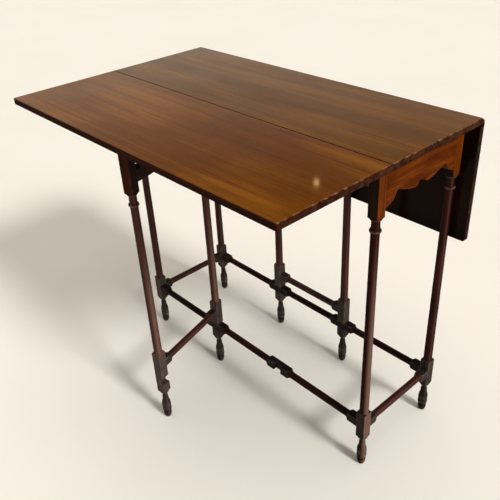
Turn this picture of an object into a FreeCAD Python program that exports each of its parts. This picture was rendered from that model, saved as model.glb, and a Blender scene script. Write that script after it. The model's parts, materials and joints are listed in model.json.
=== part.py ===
import FreeCAD, Part

# A small mahogany gateleg table on slender turned "spider" legs.
#
# The frame is four turned legs, tied near the floor by turned stretchers and at the top by two
# shaped end rails and two plain side rails.  The fixed top is screwed down to it, and a leaf hangs
# from each long edge on a rule joint.  On each long side a gate (a pivot stile, a swing leg, a fly
# rail and a gate stretcher) turns on wooden pins between a block on the side rail and a block on
# the long stretcher.  The front gate stands open with the front leaf resting on it; the back gate
# is closed into its halving notch and the back leaf hangs.
#
# Millimetres.  +Z is up, +X runs to the right along the table, and the front is on the -Y side.
# The origin is on the floor, under the middle of the whole table as it stands.

import os
import re

import Sketcher
from FreeCAD import Placement, Rotation, Vector

SIZES = {
    # Top and leaves
    "table_height": 710,
    "top_length": 780,
    "fixed_top_width": 254,         # between the two seams
    "front_leaf_width": 246,        # from its seam to its outer edge
    "back_leaf_width": 240,
    "top_thickness": 12.5,
    "leaf_corner": 5,               # plan radius of a leaf's outer corners
    "upper_edge": 1.5,              # rounding of the top's upper edges
    "lower_edge": 1.0,
    # Rule joint: an ovolo on the fixed top, a cove on the leaf, both about the hinge pin
    "pin_height": 3,                # pin axis above the underside; also the knuckle's radius
    "rule_radius": 7.5,
    "rule_clearance": 0.3,
    "seam_gap": 0.5,
    # Rule-joint hinges
    "hinge_pitch": 270,
    "hinge_width": 25,
    "flap_thickness": 1.5,
    "top_flap_length": 30,          # from the pin axis
    "leaf_flap_length": 42,
    "flap_setback": 3.5,            # how far a flap stays from the pin beside the other's knuckles
    "knuckle_gap": 0.2,
    "knuckle_groove": 0.35,         # air round the knuckles in the wood
    "leaf_lift_gap": 0.4,           # air over the leaf's flap where it passes under the ovolo
    "hinge_pin_radius": 1.25,
    "running_clearance": 0.05,      # radial, wherever a pin turns in a hole
    "screw_spread": 7,
    "top_screw_near": 12,
    "top_screw_far": 23,
    "leaf_screw_near": 18,
    "leaf_screw_far": 34,
    "hinge_screw_length": 8.5,
    "hinge_screw_radius": 1.4,
    "hinge_screw_head": 2.8,
    "screw_slot_width": 0.6,
    "screw_slot_depth": 0.5,
    # Legs: squares left at the joints, turned between them
    "end_overhang": 37,             # of the top past the middles of the legs, at each end
    "leg_inset": 17,                # from a seam to the middles of the legs
    "leg_block": 21,                # side of the squares
    "upper_block": 99.5,            # length of a fixed leg's top square
    "swing_upper_block": 110.5,
    "stile_upper_block": 39.7,
    "lower_block_top": 148,
    "lower_block_bottom": 82,
    "swing_block_top": 190,
    "stile_block_top": 189,
    "corner_margin": 0.9,           # how far the turner's curves run out past the squares' corners
    "tongue_length": 10,            # turned tongue under a top square
    "tongue_waist_drop": 4.5,
    "tongue_waist_radius": 9,
    "tongue_lip_drop": 2,
    "lip_radius": 10.9,             # where a turned end breaks through the square's faces
    "neck_radius": 7.9,
    "ring_drop": 25,                # from the top square's lower end to the ring's middle
    "ring_height": 7.5,
    "ring_fillet_radius": 8.3,      # the flat step on each side of the ring
    "fillet_height": 1,
    "shaft_top_radius": 8,
    "shaft_foot_radius": 9.3,
    "shoulder_radius": 10.4,
    "shoulder_rise": 3,             # turned shoulder over a fixed leg's lower square
    "swing_shoulder_rise": 7,
    "foot_neck_height": 64,
    "foot_neck_radius": 6.9,
    "foot_waist_height": 76.6,
    "foot_waist_radius": 8.8,
    "foot_lip_height": 80.2,
    "bulb_top": 36,
    "bulb_bottom": 29,
    "bulb_radius": 10.2,
    "ankle_height": 19.5,
    "ankle_radius": 8.3,
    "bulb_foot_radius": 9.5,
    "pad_height": 17,
    "pad_radius": 9,
    "pad_foot_radius": 6.2,         # where the pad meets the floor
    # Rails
    "rail_thickness": 18,
    "side_rail_height": 57.5,
    "side_rail_setback": 0.3,       # behind the legs' inner faces, so the closed gate clears it
    "apron_end_drop": 84.5,         # depths of the end rail's shaped edge below the top
    "apron_cusp_drop": 60.5,
    "apron_lobe_drop": 75.5,
    "apron_middle_drop": 66.5,
    "bracket_width": 32,            # from the leg to the cusp
    "bracket_turn": 6.4,            # from the cusp to where the bracket's hollow turns to a round
    "bracket_turn_drop": 68.5,
    "lobe_inner": 20,               # from the middle to the lobe's lowest point
    "lobe_turn": 10.4,
    "lobe_turn_drop": 71,
    "apron_middle": 8,
    "corner_block_side": 24,
    "corner_block_height": 30,
    "top_screw_length": 38,
    "top_screw_radius": 2,
    "top_screw_head": 4,
    "top_screw_head_height": 2,
    # Stretchers
    "stretcher_height": 115,
    "stretcher_block": 19,
    "stretcher_radius": 7.75,
    "cusp_length": 8,               # from a square to the full round
    "cusp_tip": 3.5,
    "cusp_radius": 9.3,
    "long_end_block": 24,
    "short_end_block": 18.5,
    "joint_block": 63,              # length of the long stretcher's two middle squares
    # Joints between the wooden pieces
    "tenon_thickness": 6,
    "rail_tenon_length": 12,
    "rail_tenon_shoulder": 9,       # left above and below a rail's tenon
    "side_tenon_length": 10,
    "stretcher_tenon_height": 13,
    "mortise_wall": 0.5,            # wood left between two stretcher tenons that meet in a leg
    "joint_clearance": 0.1,
    # Gates
    "pivot_offset": 111.5,          # of a gate's pivot from the table's middle
    "gate_length": 221.5,           # pivot axis to swing leg axis
    "gate_open": 74.5,              # degrees between the front gate and its closed place
    "pivot_block_height": 59.5,
    "pivot_pin_radius": 4.5,
    "pivot_pin_length": 12,
    "gate_end_gap": 0.3,            # over and under the pivot stile
    "leaf_rest_gap": 0.3,           # between the swing leg and the leaf
    "swing_foot_gap": 0.4,          # the swing foot stands this clear of the floor
    "halving_gap": 0.3,
    "notch_side_gap": 0.8,
    "notch_end_gap": 0.6,
    "fly_rail_drop": 65.5,          # from the underside of the top to the fly rail's top
    "fly_rail_height": 27,
    "fly_rail_thickness": 17,
    "fly_tenon_height": 19,
    "gate_stretcher_height": 158.5,
    "foot_tenon_radius": 3.5,
    "foot_tenon_length": 5,
}

UNDERSIDE = "(table_height - top_thickness)"
FRAME_Y = "((front_leaf_width - top_thickness + pin_height) / 2)"
STRETCHER_TENON = "(leg_block / 2 - tenon_thickness / 2 - mortise_wall)"
LEGS_X = "(top_length / 2 - end_overhang)"
LEGS_Y = "(fixed_top_width / 2 - leg_inset)"
LONG_SPAN = f"(2 * {LEGS_X} - leg_block)"
SHORT_SPAN = f"(2 * {LEGS_Y} - leg_block)"
GATE_SPAN = "(gate_length - leg_block)"
SIDE_RAIL_SPAN = f"(2 * {LEGS_X} + leg_block - 2 * rail_thickness)"
SIDE_RAIL_Y = f"({LEGS_Y} - leg_block / 2 - side_rail_setback - rail_thickness / 2)"
HALF_KNUCKLE = "(hinge_width / 6)"      # three knuckles a hinge
HINGES = (-1, 0, 1)                     # the three hinges of a leaf, in pitches from its middle
UP = Vector(0, 0, 1)
FRONT, BACK = -1, 1
CORNERS = [(side_x, side_y) for side_x in (-1, 1) for side_y in (FRONT, BACK)]
OVERCUT = 1                             # how far past the wood a cut is drawn
SHOULDER_CREST = 0.6                    # share of a shoulder's rise at which it curves inwards
TINY = 1e-3                             # lengths and volumes below this count as nothing

# Bulges of the curved stretches: an arc's rise over half its chord
RING_ROUND = 0.67
HOLLOW = 0.3
SWELL = 0.25
GENTLE = 0.2
SLIGHT = 0.15
LONG = 0.1

doc = FreeCAD.newDocument("drop_leaf_table")
sheet = doc.addObject("Spreadsheet::Sheet", "Sizes")
pieces = []


def fill_sheet():
    """One row a size: its name, and beside it the number, which the name then stands for."""
    for row, (alias, number) in enumerate(SIZES.items(), start=1):
        sheet.set(f"A{row}", alias)
        sheet.set(f"B{row}", str(number))
        sheet.setAlias(f"B{row}", alias)
    doc.recompute()


def bound(expression):
    """The expression with each size's name turned into a reference to its cell."""
    return re.sub(r"[a-z]\w*", lambda word: f"Sizes.{word[0]}" if word[0] in SIZES else word[0],
                  str(expression))


def value(expression):
    """What the expression comes to with the sheet as it stands."""
    return float(sheet.evalExpression(bound(expression)))


# ---------------------------------------------------------------- sketches and features

def new_body(name, x="0", y="0", z="0", axis=UP, angle="0"):
    """A body of its own for one sub-part, standing at (x, y, z) and turned about the axis."""
    body = doc.addObject("PartDesign::Body", name)
    body.Label = name
    body.Placement = Placement(Vector(value(x), value(y), value(z)), Rotation(axis, value(angle)))
    for letter, place in zip("xyz", (x, y, z)):
        body.setExpression(f"Placement.Base.{letter}", bound(place))
    pieces.append(body)
    return body


def new_sketch(body, plane, offset="0"):
    """A sketch on one of the body's own origin planes, moved along that plane's normal."""
    sketch = body.newObject("Sketcher::SketchObject", f"{body.Name}_sketch")
    origin_plane = next(f for f in body.Origin.OriginFeatures if f.Role == f"{plane}_Plane")
    sketch.AttachmentSupport = [(origin_plane, "")]
    sketch.MapMode = "FlatFace"
    sketch.setExpression("AttachmentOffset.Base.z", bound(offset))
    return sketch


def outline(sketch, corners):
    """A closed outline through the corners, each held at its (x, y) by two constraints.

    A third entry makes the stretch that ends at the corner an arc.  A plain number is its bulge,
    which is its rise over half its chord, to the right of the way travelled when positive.  A
    (radius, side) pair is an arc of that radius, to the right when side is 1 and left when -1.
    """
    lines = []
    for before, corner in zip(corners[-1:] + corners[:-1], corners):
        start = Vector(value(before[0]), value(before[1]), 0)
        end = Vector(value(corner[0]), value(corner[1]), 0)
        if len(corner) == 2:
            line, forward = sketch.addGeometry(Part.LineSegment(start, end), False), True
        else:
            centre = arc_centre(before, corner)
            middle = Vector(value(centre[0]), value(centre[1]), 0)
            line, forward = add_arc(sketch, start, end, middle)
            across = int(abs((end - start).y) < abs((end - start).x))
            kind = ("DistanceX", "DistanceY")[across]
            add_bound_constraint(sketch, kind, (-1, 1, line, 3), centre[across])
        lines.append((line, 1 if forward else 2, 2 if forward else 1))
    for index, (line, start_end, far_end) in enumerate(lines):
        before_line, _, before_end = lines[index - 1]
        sketch.addConstraint(Sketcher.Constraint("Coincident", before_line, before_end, line, start_end))
        add_bound_constraint(sketch, "DistanceX", (-1, 1, line, far_end), corners[index][0])
        add_bound_constraint(sketch, "DistanceY", (-1, 1, line, far_end), corners[index][1])


def arc_centre(before, corner):
    """The centre of the arc that ends at the corner, as two expressions.  It lies off the chord's
    middle by the chord, turned a quarter round, times a factor."""
    run_x = f"(({corner[0]}) - ({before[0]}))"
    run_y = f"(({corner[1]}) - ({before[1]}))"
    if isinstance(corner[2], tuple):
        radius, side = corner[2]
        factor = f"{side} * sqrt(({radius})^2 / ({run_x}^2 + {run_y}^2) - 0.25)"
    else:
        factor = f"{(1 - corner[2] ** 2) / (4 * corner[2]):.9f}"
    return (f"({before[0]}) + {run_x} / 2 - {run_y} * {factor}",
            f"({before[1]}) + {run_y} / 2 + {run_x} * {factor}")


def add_arc(sketch, start, end, centre):
    """The shorter arc from start to end about the centre, and whether its own start, from which
    it runs anticlockwise, is the given one."""
    halfway = (start + end) / 2 - centre
    middle = centre + halfway * ((start - centre).Length / halfway.Length)
    forward = (start - centre).cross(middle - centre).z > 0
    first, last = (start, end) if forward else (end, start)
    return sketch.addGeometry(Part.Arc(first, middle, last), False), forward


def add_bound_constraint(sketch, kind, where, expression):
    """A constraint of that kind whose value follows the sheet."""
    number = sketch.addConstraint(Sketcher.Constraint(kind, *where, value(expression)))
    sketch.setExpression(f"Constraints[{number}]", bound(expression))


def rectangle(sketch, left, right, low, high):
    """A rectangle between the given sides."""
    outline(sketch, [(left, low), (right, low), (right, high), (left, high)])


def circle(sketch, x, y, radius):
    """A circle held at (x, y)."""
    centre = Vector(value(x), value(y), 0)
    ring = sketch.addGeometry(Part.Circle(centre, Vector(0, 0, 1), value(radius)), False)
    add_bound_constraint(sketch, "Radius", (ring,), radius)
    add_bound_constraint(sketch, "DistanceX", (-1, 1, ring, 3), x)
    add_bound_constraint(sketch, "DistanceY", (-1, 1, ring, 3), y)


def pad(body, sketch, length, both_ways=False, backwards=False):
    """The sketch drawn out along its normal, or half each way."""
    feature = body.newObject("PartDesign::Pad", f"{body.Name}_pad")
    feature.Profile = sketch
    feature.SideType = "Symmetric" if both_ways else "One side"
    feature.Reversed = backwards
    feature.setExpression("Length", bound(length))
    return finish(body, feature)


def pocket(body, sketch, depth, both_ways=False, along_normal=False):
    """A cut against the sketch's normal, along it, or half each way."""
    feature = body.newObject("PartDesign::Pocket", f"{body.Name}_pocket")
    feature.Profile = sketch
    feature.SideType = "Symmetric" if both_ways else "One side"
    feature.Reversed = along_normal
    feature.setExpression("Length", bound(depth))
    return finish(body, feature, cuts=True)


def turn(body, sketch, axis):
    """A groove that takes the sketch away all the way round one of its own axes."""
    feature = body.newObject("PartDesign::Groove", f"{body.Name}_turning")
    feature.Profile = sketch
    feature.ReferenceAxis = (sketch, [axis])
    feature.Angle = 360
    return finish(body, feature, cuts=True)


def round_edges(body, radius, test):
    """A fillet on each edge of the body so far whose bounding box passes the test."""
    base = body.Tip
    chosen = [f"Edge{number}" for number, edge in enumerate(base.Shape.Edges, start=1)
              if test(edge.BoundBox)]
    feature = body.newObject("PartDesign::Fillet", f"{body.Name}_fillet")
    feature.Base = (base, chosen)
    feature.setExpression("Radius", bound(radius))
    return finish(body, feature, cuts=True)


def finish(body, feature, cuts=False):
    """Works the new feature out, and stops if it did nothing or a cut missed the wood."""
    before = feature.BaseFeature.Shape.Volume if feature.BaseFeature else 0
    body.Tip = feature
    doc.recompute()
    change = feature.Shape.Volume - before
    if (cuts and change > -TINY) or (not cuts and change < TINY):
        raise ValueError(f"{feature.Name} changed the volume by {change:.4f}")
    return feature


def near(first, second):
    """Whether two lengths are the same."""
    return abs(first - second) < TINY


# ---------------------------------------------------------------- joints in the wood

def mortise(body, plane, side, low, high, depth, middle="0"):
    """A mortise in the face that looks along +/- X (plane YZ) or +/- Y (plane XZ) of a leg.

    side is +1 or -1, low and high are heights, and middle is where it lies across the face.
    """
    normal = 1 if plane == "YZ" else -1
    sketch = new_sketch(body, plane, f"{side * normal} * leg_block / 2")
    half = "(tenon_thickness / 2 + joint_clearance)"
    rectangle(sketch, f"{middle} - {half}", f"{middle} + {half}",
              f"{low} - joint_clearance", f"{high} + joint_clearance")
    pocket(body, sketch, f"{depth} + joint_clearance", along_normal=side * normal < 0)


def through_tenon(body, length, low, high):
    """A tenon at each end of a rail that lies along X, in one pad from end to end."""
    sketch = new_sketch(body, "YZ")
    rectangle(sketch, "-tenon_thickness / 2", "tenon_thickness / 2", low, high)
    pad(body, sketch, length, both_ways=True)


def stretcher_mortise(body, plane, side, height):
    """The mortise for one stretcher's tenon."""
    mortise(body, plane, side, f"{height} - stretcher_tenon_height / 2",
            f"{height} + stretcher_tenon_height / 2", STRETCHER_TENON)


# ---------------------------------------------------------------- legs and stiles

def square_post(body, low, high):
    """The square stock of a leg, from one height to another."""
    sketch = new_sketch(body, "XY", low)
    rectangle(sketch, "-leg_block / 2", "leg_block / 2", "-leg_block / 2", "leg_block / 2")
    pad(body, sketch, f"{high} - ({low})")


def turn_shaft(body, low, high, shoulder):
    """The turning between a lower square that ends at low and a top square that starts at high:
    a shoulder, a shaft that thins upwards, a ring, a neck and a tongue."""
    reach = beyond_corners("leg_block")
    ring = f"({high} - ring_drop)"
    ring_low = f"({ring} - ring_height / 2)"
    ring_high = f"({ring} + ring_height / 2)"
    sketch = new_sketch(body, "XZ")
    outline(sketch, [
        (reach, low),
        ("shoulder_radius", f"{low} + {shoulder} * {SHOULDER_CREST}", SWELL),
        ("shaft_foot_radius", f"{low} + {shoulder} + fillet_height", -GENTLE),
        ("shaft_top_radius", f"{ring_low} - fillet_height"),
        ("ring_fillet_radius", ring_low, -HOLLOW),
        ("ring_fillet_radius", ring_high, RING_ROUND),
        ("neck_radius", f"{ring_high} + fillet_height", -HOLLOW),
        ("neck_radius", f"{high} - tongue_length"),
        ("tongue_waist_radius", f"{high} - tongue_waist_drop", -SWELL),
        ("lip_radius", f"{high} - tongue_lip_drop", HOLLOW),
        (reach, high, -HOLLOW),
    ])
    turn(body, sketch, "V_Axis")


def turn_foot(body, floor):
    """The turning under the lower square: a cyma and neck, a pear-shaped bulb, a groove and a pad."""
    reach = beyond_corners("leg_block")
    sketch = new_sketch(body, "XZ")
    outline(sketch, [
        (reach, floor),
        ("pad_foot_radius", floor),
        ("pad_radius", "pad_height - fillet_height", SLIGHT),
        ("ankle_radius", "pad_height", HOLLOW),
        ("ankle_radius", "ankle_height - fillet_height"),
        ("bulb_foot_radius", "ankle_height", SWELL),
        ("bulb_radius", "bulb_bottom", LONG),
        ("bulb_radius", "bulb_top"),
        ("(bulb_radius + foot_neck_radius) / 2", "(bulb_top + foot_neck_height) / 2", LONG),
        ("foot_neck_radius", "foot_neck_height", -LONG),
        ("foot_waist_radius", "foot_waist_height", -HOLLOW),
        ("lip_radius", "foot_lip_height", SWELL),
        (reach, "lower_block_bottom", -HOLLOW),
    ])
    turn(body, sketch, "V_Axis")


def beyond_corners(block):
    """A radius a little past the corners of a square of that side."""
    return f"({block} * sqrt(0.5) + corner_margin)"


def fixed_leg(name, side_x, side_y):
    """One of the four corner legs.  Its mortises face the table's middle."""
    body = new_body(name, f"{side_x} * {LEGS_X}", f"{side_y} * {LEGS_Y} + {FRAME_Y}")
    square_post(body, "0", UNDERSIDE)
    turn_shaft(body, "lower_block_top", f"{UNDERSIDE} - upper_block", "shoulder_rise")
    turn_foot(body, "0")
    mortise(body, "XZ", -side_y, f"{UNDERSIDE} - apron_end_drop + rail_tenon_shoulder",
            f"{UNDERSIDE} - rail_tenon_shoulder", "rail_tenon_length")
    stretcher_mortise(body, "XZ", -side_y, "stretcher_height")
    stretcher_mortise(body, "YZ", -side_x, "stretcher_height")


# ---------------------------------------------------------------- rails, blocks and stretchers

def end_rail(name, side_x):
    """An end rail with its lower edge cut to a bracket, a cusp and a lobe on each side."""
    body = new_body(name, f"{side_x} * ({LEGS_X} + leg_block / 2 - rail_thickness / 2)", FRAME_Y,
                    UNDERSIDE)
    half = f"({SHORT_SPAN} / 2)"
    cusp = f"({half} - bracket_width)"
    right_half = [
        (half, "-apron_end_drop"),
        (f"{cusp} + bracket_turn", "-bracket_turn_drop", -GENTLE),
        (cusp, "-apron_cusp_drop", SLIGHT),
        ("lobe_inner", "-apron_lobe_drop", -LONG / 2),
        ("lobe_turn", "-lobe_turn_drop", -HOLLOW),
        ("apron_middle", "-apron_middle_drop", SLIGHT),
    ]
    sketch = new_sketch(body, "YZ")
    outline(sketch, [(half, "0")] + right_half + mirrored(right_half) + [(f"-{half}", "0")])
    pad(body, sketch, "rail_thickness", both_ways=True)

    tenon = new_sketch(body, "YZ", f"{side_x} * (rail_thickness - leg_block) / 2")
    reach = f"({half} + rail_tenon_length)"
    rectangle(tenon, f"-{reach}", reach, "-apron_end_drop + rail_tenon_shoulder",
              "-rail_tenon_shoulder - side_rail_height / 2")
    pad(body, tenon, "tenon_thickness", both_ways=True)

    mortises = new_sketch(body, "YZ", f"{-side_x} * rail_thickness / 2")
    for side_y in (FRONT, BACK):
        wall = "(tenon_thickness / 2 + joint_clearance)"
        rectangle(mortises, f"{side_y} * {SIDE_RAIL_Y} - {wall}", f"{side_y} * {SIDE_RAIL_Y} + {wall}",
                  "-side_rail_height + rail_tenon_shoulder - joint_clearance",
                  "-rail_tenon_shoulder + joint_clearance")
    pocket(body, mortises, "side_tenon_length + joint_clearance", along_normal=side_x > 0)


def mirrored(half_outline):
    """The other half of an outline that starts at its outer end: the same corners from the middle
    outwards, each stretch with the bulge it has on the first half."""
    across = [(f"-({corner[0]})", corner[1]) for corner in reversed(half_outline)]
    bulges = [corner[2:] for corner in reversed(half_outline)]
    return across[:1] + [place + bulge for place, bulge in zip(across[1:], bulges)]


def side_rail(name, side_y):
    """A plain rail between the end rails, just behind the line of the legs."""
    body = new_body(name, "0", f"{side_y} * {SIDE_RAIL_Y} + {FRAME_Y}", UNDERSIDE)
    sketch = new_sketch(body, "YZ")
    rectangle(sketch, "-rail_thickness / 2", "rail_thickness / 2", "-side_rail_height", "0")
    pad(body, sketch, SIDE_RAIL_SPAN, both_ways=True)
    through_tenon(body, f"{SIDE_RAIL_SPAN} + 2 * side_tenon_length",
                  "-side_rail_height + rail_tenon_shoulder", "-rail_tenon_shoulder")


def pivot_block(name, side):
    """The block on a side rail that holds the upper pin of a gate, in line with the legs."""
    body = new_body(name, f"{side} * pivot_offset", f"{side} * {LEGS_Y} + {FRAME_Y}",
                    f"{UNDERSIDE} - pivot_block_height")
    inner = f"{-side} * (leg_block / 2 + side_rail_setback)"
    sketch = new_sketch(body, "XY")
    rectangle(sketch, "-leg_block / 2", "leg_block / 2", *sorted(
        (inner, f"{side} * leg_block / 2"), key=value))
    pad(body, sketch, "pivot_block_height")
    hole = new_sketch(body, "XY")
    circle(hole, "0", "0", "pivot_pin_radius + running_clearance")
    pocket(body, hole, "pivot_pin_length", along_normal=True)


def corner_place(side_x, side_y, inset):
    """A point that far in from the rails' inner corner, at one end of one side."""
    return (f"{side_x} * ({SIDE_RAIL_SPAN} / 2 - {inset})",
            f"{side_y} * ({SIDE_RAIL_Y} - rail_thickness / 2 - {inset})")


def corner_blocks():
    """Four glue blocks between the rails, drilled for the screws that hold the top down."""
    body = new_body("corner_blocks", "0", FRAME_Y, f"{UNDERSIDE} - corner_block_height")
    sketch = new_sketch(body, "XY")
    for side_x, side_y in CORNERS:
        outer_x, outer_y = corner_place(side_x, side_y, "0")
        inner_x, inner_y = corner_place(side_x, side_y, "corner_block_side")
        rectangle(sketch, *sorted((inner_x, outer_x), key=value), *sorted((inner_y, outer_y), key=value))
    pad(body, sketch, "corner_block_height")
    drill(body, "0", top_screw_places(), "top_screw_radius", "corner_block_height")
    countersink(body, "0", top_screw_places(), "top_screw_head", "top_screw_radius",
                "top_screw_head_height")


def top_screw_places():
    """Where the screws stand: the middle of each corner block."""
    return [corner_place(side_x, side_y, "corner_block_side / 2") for side_x, side_y in CORNERS]


def stretcher(name, length, blocks, x, y, height, angle):
    """A turned stretcher along its own X, with squares left on it from each block's start to its
    end, and a tenon at each end.  The first and last blocks are its ends."""
    body = new_body(name, x, y, height, angle=angle)
    sketch = new_sketch(body, "YZ")
    side = ("-stretcher_block / 2", "stretcher_block / 2")
    rectangle(sketch, *side, *side)
    pad(body, sketch, length, both_ways=True)
    reach = beyond_corners("stretcher_block")
    rounds = new_sketch(body, "XZ")
    for (_, start), (end, _) in zip(blocks, blocks[1:]):
        outline(rounds, [
            (start, reach),
            (f"{start} + cusp_tip", "cusp_radius", GENTLE),
            (f"{start} + cusp_length", "stretcher_radius", SLIGHT),
            (f"{end} - cusp_length", "stretcher_radius"),
            (f"{end} - cusp_tip", "cusp_radius", SLIGHT),
            (end, reach, GENTLE),
        ])
    turn(body, rounds, "H_Axis")
    through_tenon(body, f"{length} + 2 * {STRETCHER_TENON}",
                  "-stretcher_tenon_height / 2", "stretcher_tenon_height / 2")
    return body


def end_blocks(length, block):
    """The two squares at the ends of a stretcher of that length."""
    return [(f"-{length} / 2", f"-{length} / 2 + {block}"), (f"{length} / 2 - {block}", f"{length} / 2")]


def long_stretcher(name, side):
    """A stretcher under a gate, with a square for the pivot and a notched one for the swing leg.

    The back one is the front one turned half round."""
    first, last = end_blocks(LONG_SPAN, "long_end_block")
    pivot = "-pivot_offset"
    notch = "(gate_length - pivot_offset)"
    middles = [(f"{place} - joint_block / 2", f"{place} + joint_block / 2") for place in (pivot, notch)]
    body = stretcher(name, LONG_SPAN, [first, *middles, last], "0",
                     f"{side} * {LEGS_Y} + {FRAME_Y}", "stretcher_height",
                     "0" if side == FRONT else "180")
    drill(body, "stretcher_block / 2", [(pivot, "0")], "pivot_pin_radius", "pivot_pin_length",
          upwards=False)
    drill(body, "-stretcher_block / 2", [(pivot, "0")], "foot_tenon_radius", "foot_tenon_length")
    halving = new_sketch(body, "XY")
    half = "(leg_block / 2 + notch_side_gap)"
    rectangle(halving, f"{notch} - {half}", f"{notch} + {half}", "-stretcher_block", "0")
    pocket(body, halving, "stretcher_block * 2", both_ways=True)


def pivot_foot(name, side):
    """The fixed foot under a long stretcher's pivot square."""
    body = new_body(name, f"{side} * pivot_offset", f"{side} * {LEGS_Y} + {FRAME_Y}")
    square_post(body, "0", "stretcher_height - stretcher_block / 2")
    turn_foot(body, "0")
    tenon = new_sketch(body, "XY", "stretcher_height - stretcher_block / 2")
    circle(tenon, "0", "0", "foot_tenon_radius")
    pad(body, tenon, "foot_tenon_length")


# ---------------------------------------------------------------- drilling and screws

def drill(body, height, places, radius, depth, upwards=True):
    """Holes for pins or screws of that radius, from the plane at that height."""
    sketch = new_sketch(body, "XY", height)
    for x, y in places:
        circle(sketch, x, y, f"{radius} + running_clearance")
    pocket(body, sketch, depth, along_normal=upwards)


def countersink(body, height, places, head, shank, depth):
    """Conical seats for screw heads, opening downwards at that height."""
    sketch = new_sketch(body, "XY", height)
    for x, y in places:
        circle(sketch, x, y, f"{head} + running_clearance")
    draw_in(pocket(body, sketch, depth, along_normal=True), head, shank, depth)


def draw_in(feature, wide, narrow, length):
    """Tapers a pad or pocket of circles from the wide radius to the narrow one over its length."""
    feature.setExpression("TaperAngle", bound(f"-atan(({wide} - {narrow}) / {length})"))
    doc.recompute()


def screws(body, height, places, shank, head, head_height, length):
    """Countersunk screws that point up from the plane at that height, each with a plain slot."""
    shanks = new_sketch(body, "XY", height)
    heads = new_sketch(body, "XY", height)
    slots = new_sketch(body, "XY", height)
    for x, y in places:
        circle(shanks, x, y, shank)
        circle(heads, x, y, head)
        rectangle(slots, f"{x} - {head} - {OVERCUT}", f"{x} + {head} + {OVERCUT}",
                  f"{y} - screw_slot_width / 2", f"{y} + screw_slot_width / 2")
    pad(body, shanks, length)
    draw_in(pad(body, heads, head_height), head, shank, head_height)
    pocket(body, slots, "screw_slot_depth", along_normal=True)


# ---------------------------------------------------------------- top, leaves and hinges

def fixed_top():
    """The middle board: an ovolo under a small step along each long edge, and, in its underside,
    the recesses for the hinges and the holes for every screw."""
    body = new_body("fixed_top", "0", FRAME_Y, UNDERSIDE)
    seam = "(fixed_top_width / 2)"
    lip = f"({seam} + sqrt(rule_radius^2 - pin_height^2))"
    arc_top = "pin_height + rule_radius"
    sketch = new_sketch(body, "YZ")
    outline(sketch, [
        (seam, "top_thickness"),
        (f"-{seam}", "top_thickness"),
        (f"-{seam}", arc_top),
        (f"-{seam} - rule_radius", "pin_height", ("rule_radius", 1)),
        (f"-{lip}", "0", ("rule_radius", 1)),
        (lip, "0"),
        (f"{seam} + rule_radius", "pin_height", ("rule_radius", 1)),
        (seam, arc_top, ("rule_radius", 1)),
    ])
    pad(body, sketch, "top_length", both_ways=True)
    half_length, thickness = value("top_length / 2"), value("top_thickness")
    round_edges(body, "upper_edge", lambda box: near(abs(box.Center.x), half_length)
                and near(box.ZMin, thickness))
    round_edges(body, "lower_edge", lambda box: near(abs(box.Center.x), half_length)
                and near(box.ZMax, 0))

    flaps = new_sketch(body, "XY")
    lifts = new_sketch(body, "XY")
    knuckles = new_sketch(body, "XY")
    for side in (FRONT, BACK):
        for hinge in HINGES:
            ends = hinge_span(hinge, "hinge_width / 2 + joint_clearance")
            for recess, inner, outer in (
                    (flaps, "(-top_flap_length - joint_clearance)", "0"),
                    (lifts, "0", f"(rule_radius + {OVERCUT})"),
                    (knuckles, "(-pin_height - knuckle_groove)", "(pin_height + knuckle_groove)")):
                sides = sorted((f"{side} * ({seam} + {inner})", f"{side} * ({seam} + {outer})"), key=value)
                rectangle(recess, *ends, *sides)
    pocket(body, flaps, "flap_thickness", along_normal=True)
    pocket(body, lifts, "flap_thickness + leaf_lift_gap", along_normal=True)
    pocket(body, knuckles, "2 * pin_height + knuckle_groove", along_normal=True)
    hinge_screws = [(x, f"{side} * ({seam} + {y})") for side in (FRONT, BACK)
                    for x, y in screw_places(-1, "top_screw_near", "top_screw_far")]
    drill(body, "0", hinge_screws, "hinge_screw_radius", "hinge_screw_length + joint_clearance")
    drill(body, "0", top_screw_places(), "top_screw_radius",
          "top_screw_length - corner_block_height + joint_clearance")


def hinge_span(hinge, half):
    """The two ends, along X, of a stretch of that half length about one hinge's middle."""
    return f"{hinge} * hinge_pitch - ({half})", f"{hinge} * hinge_pitch + ({half})"


def screw_places(side, near_row, far_row):
    """Three screws a hinge, two near the pin and one further out, from the pin axis."""
    return [(f"({hinge} * hinge_pitch + {across} * screw_spread)", f"({side} * {row})")
            for hinge in HINGES for across, row in ((-1, near_row), (1, near_row), (0, far_row))]


def at_pin(name, side, hanging=False):
    """A body whose origin is on a leaf's pin axis, with +Y running out from the fixed top; it is
    turned down about the axis where the leaf hangs."""
    axis, angle = UP, "0"
    if side == FRONT:
        angle = "180"
    elif hanging:
        axis, angle = Vector(-1, 0, 0), "90"
    return new_body(name, "0", f"{side} * fixed_top_width / 2 + {FRAME_Y}",
                    f"{UNDERSIDE} + pin_height", axis, angle)


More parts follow.
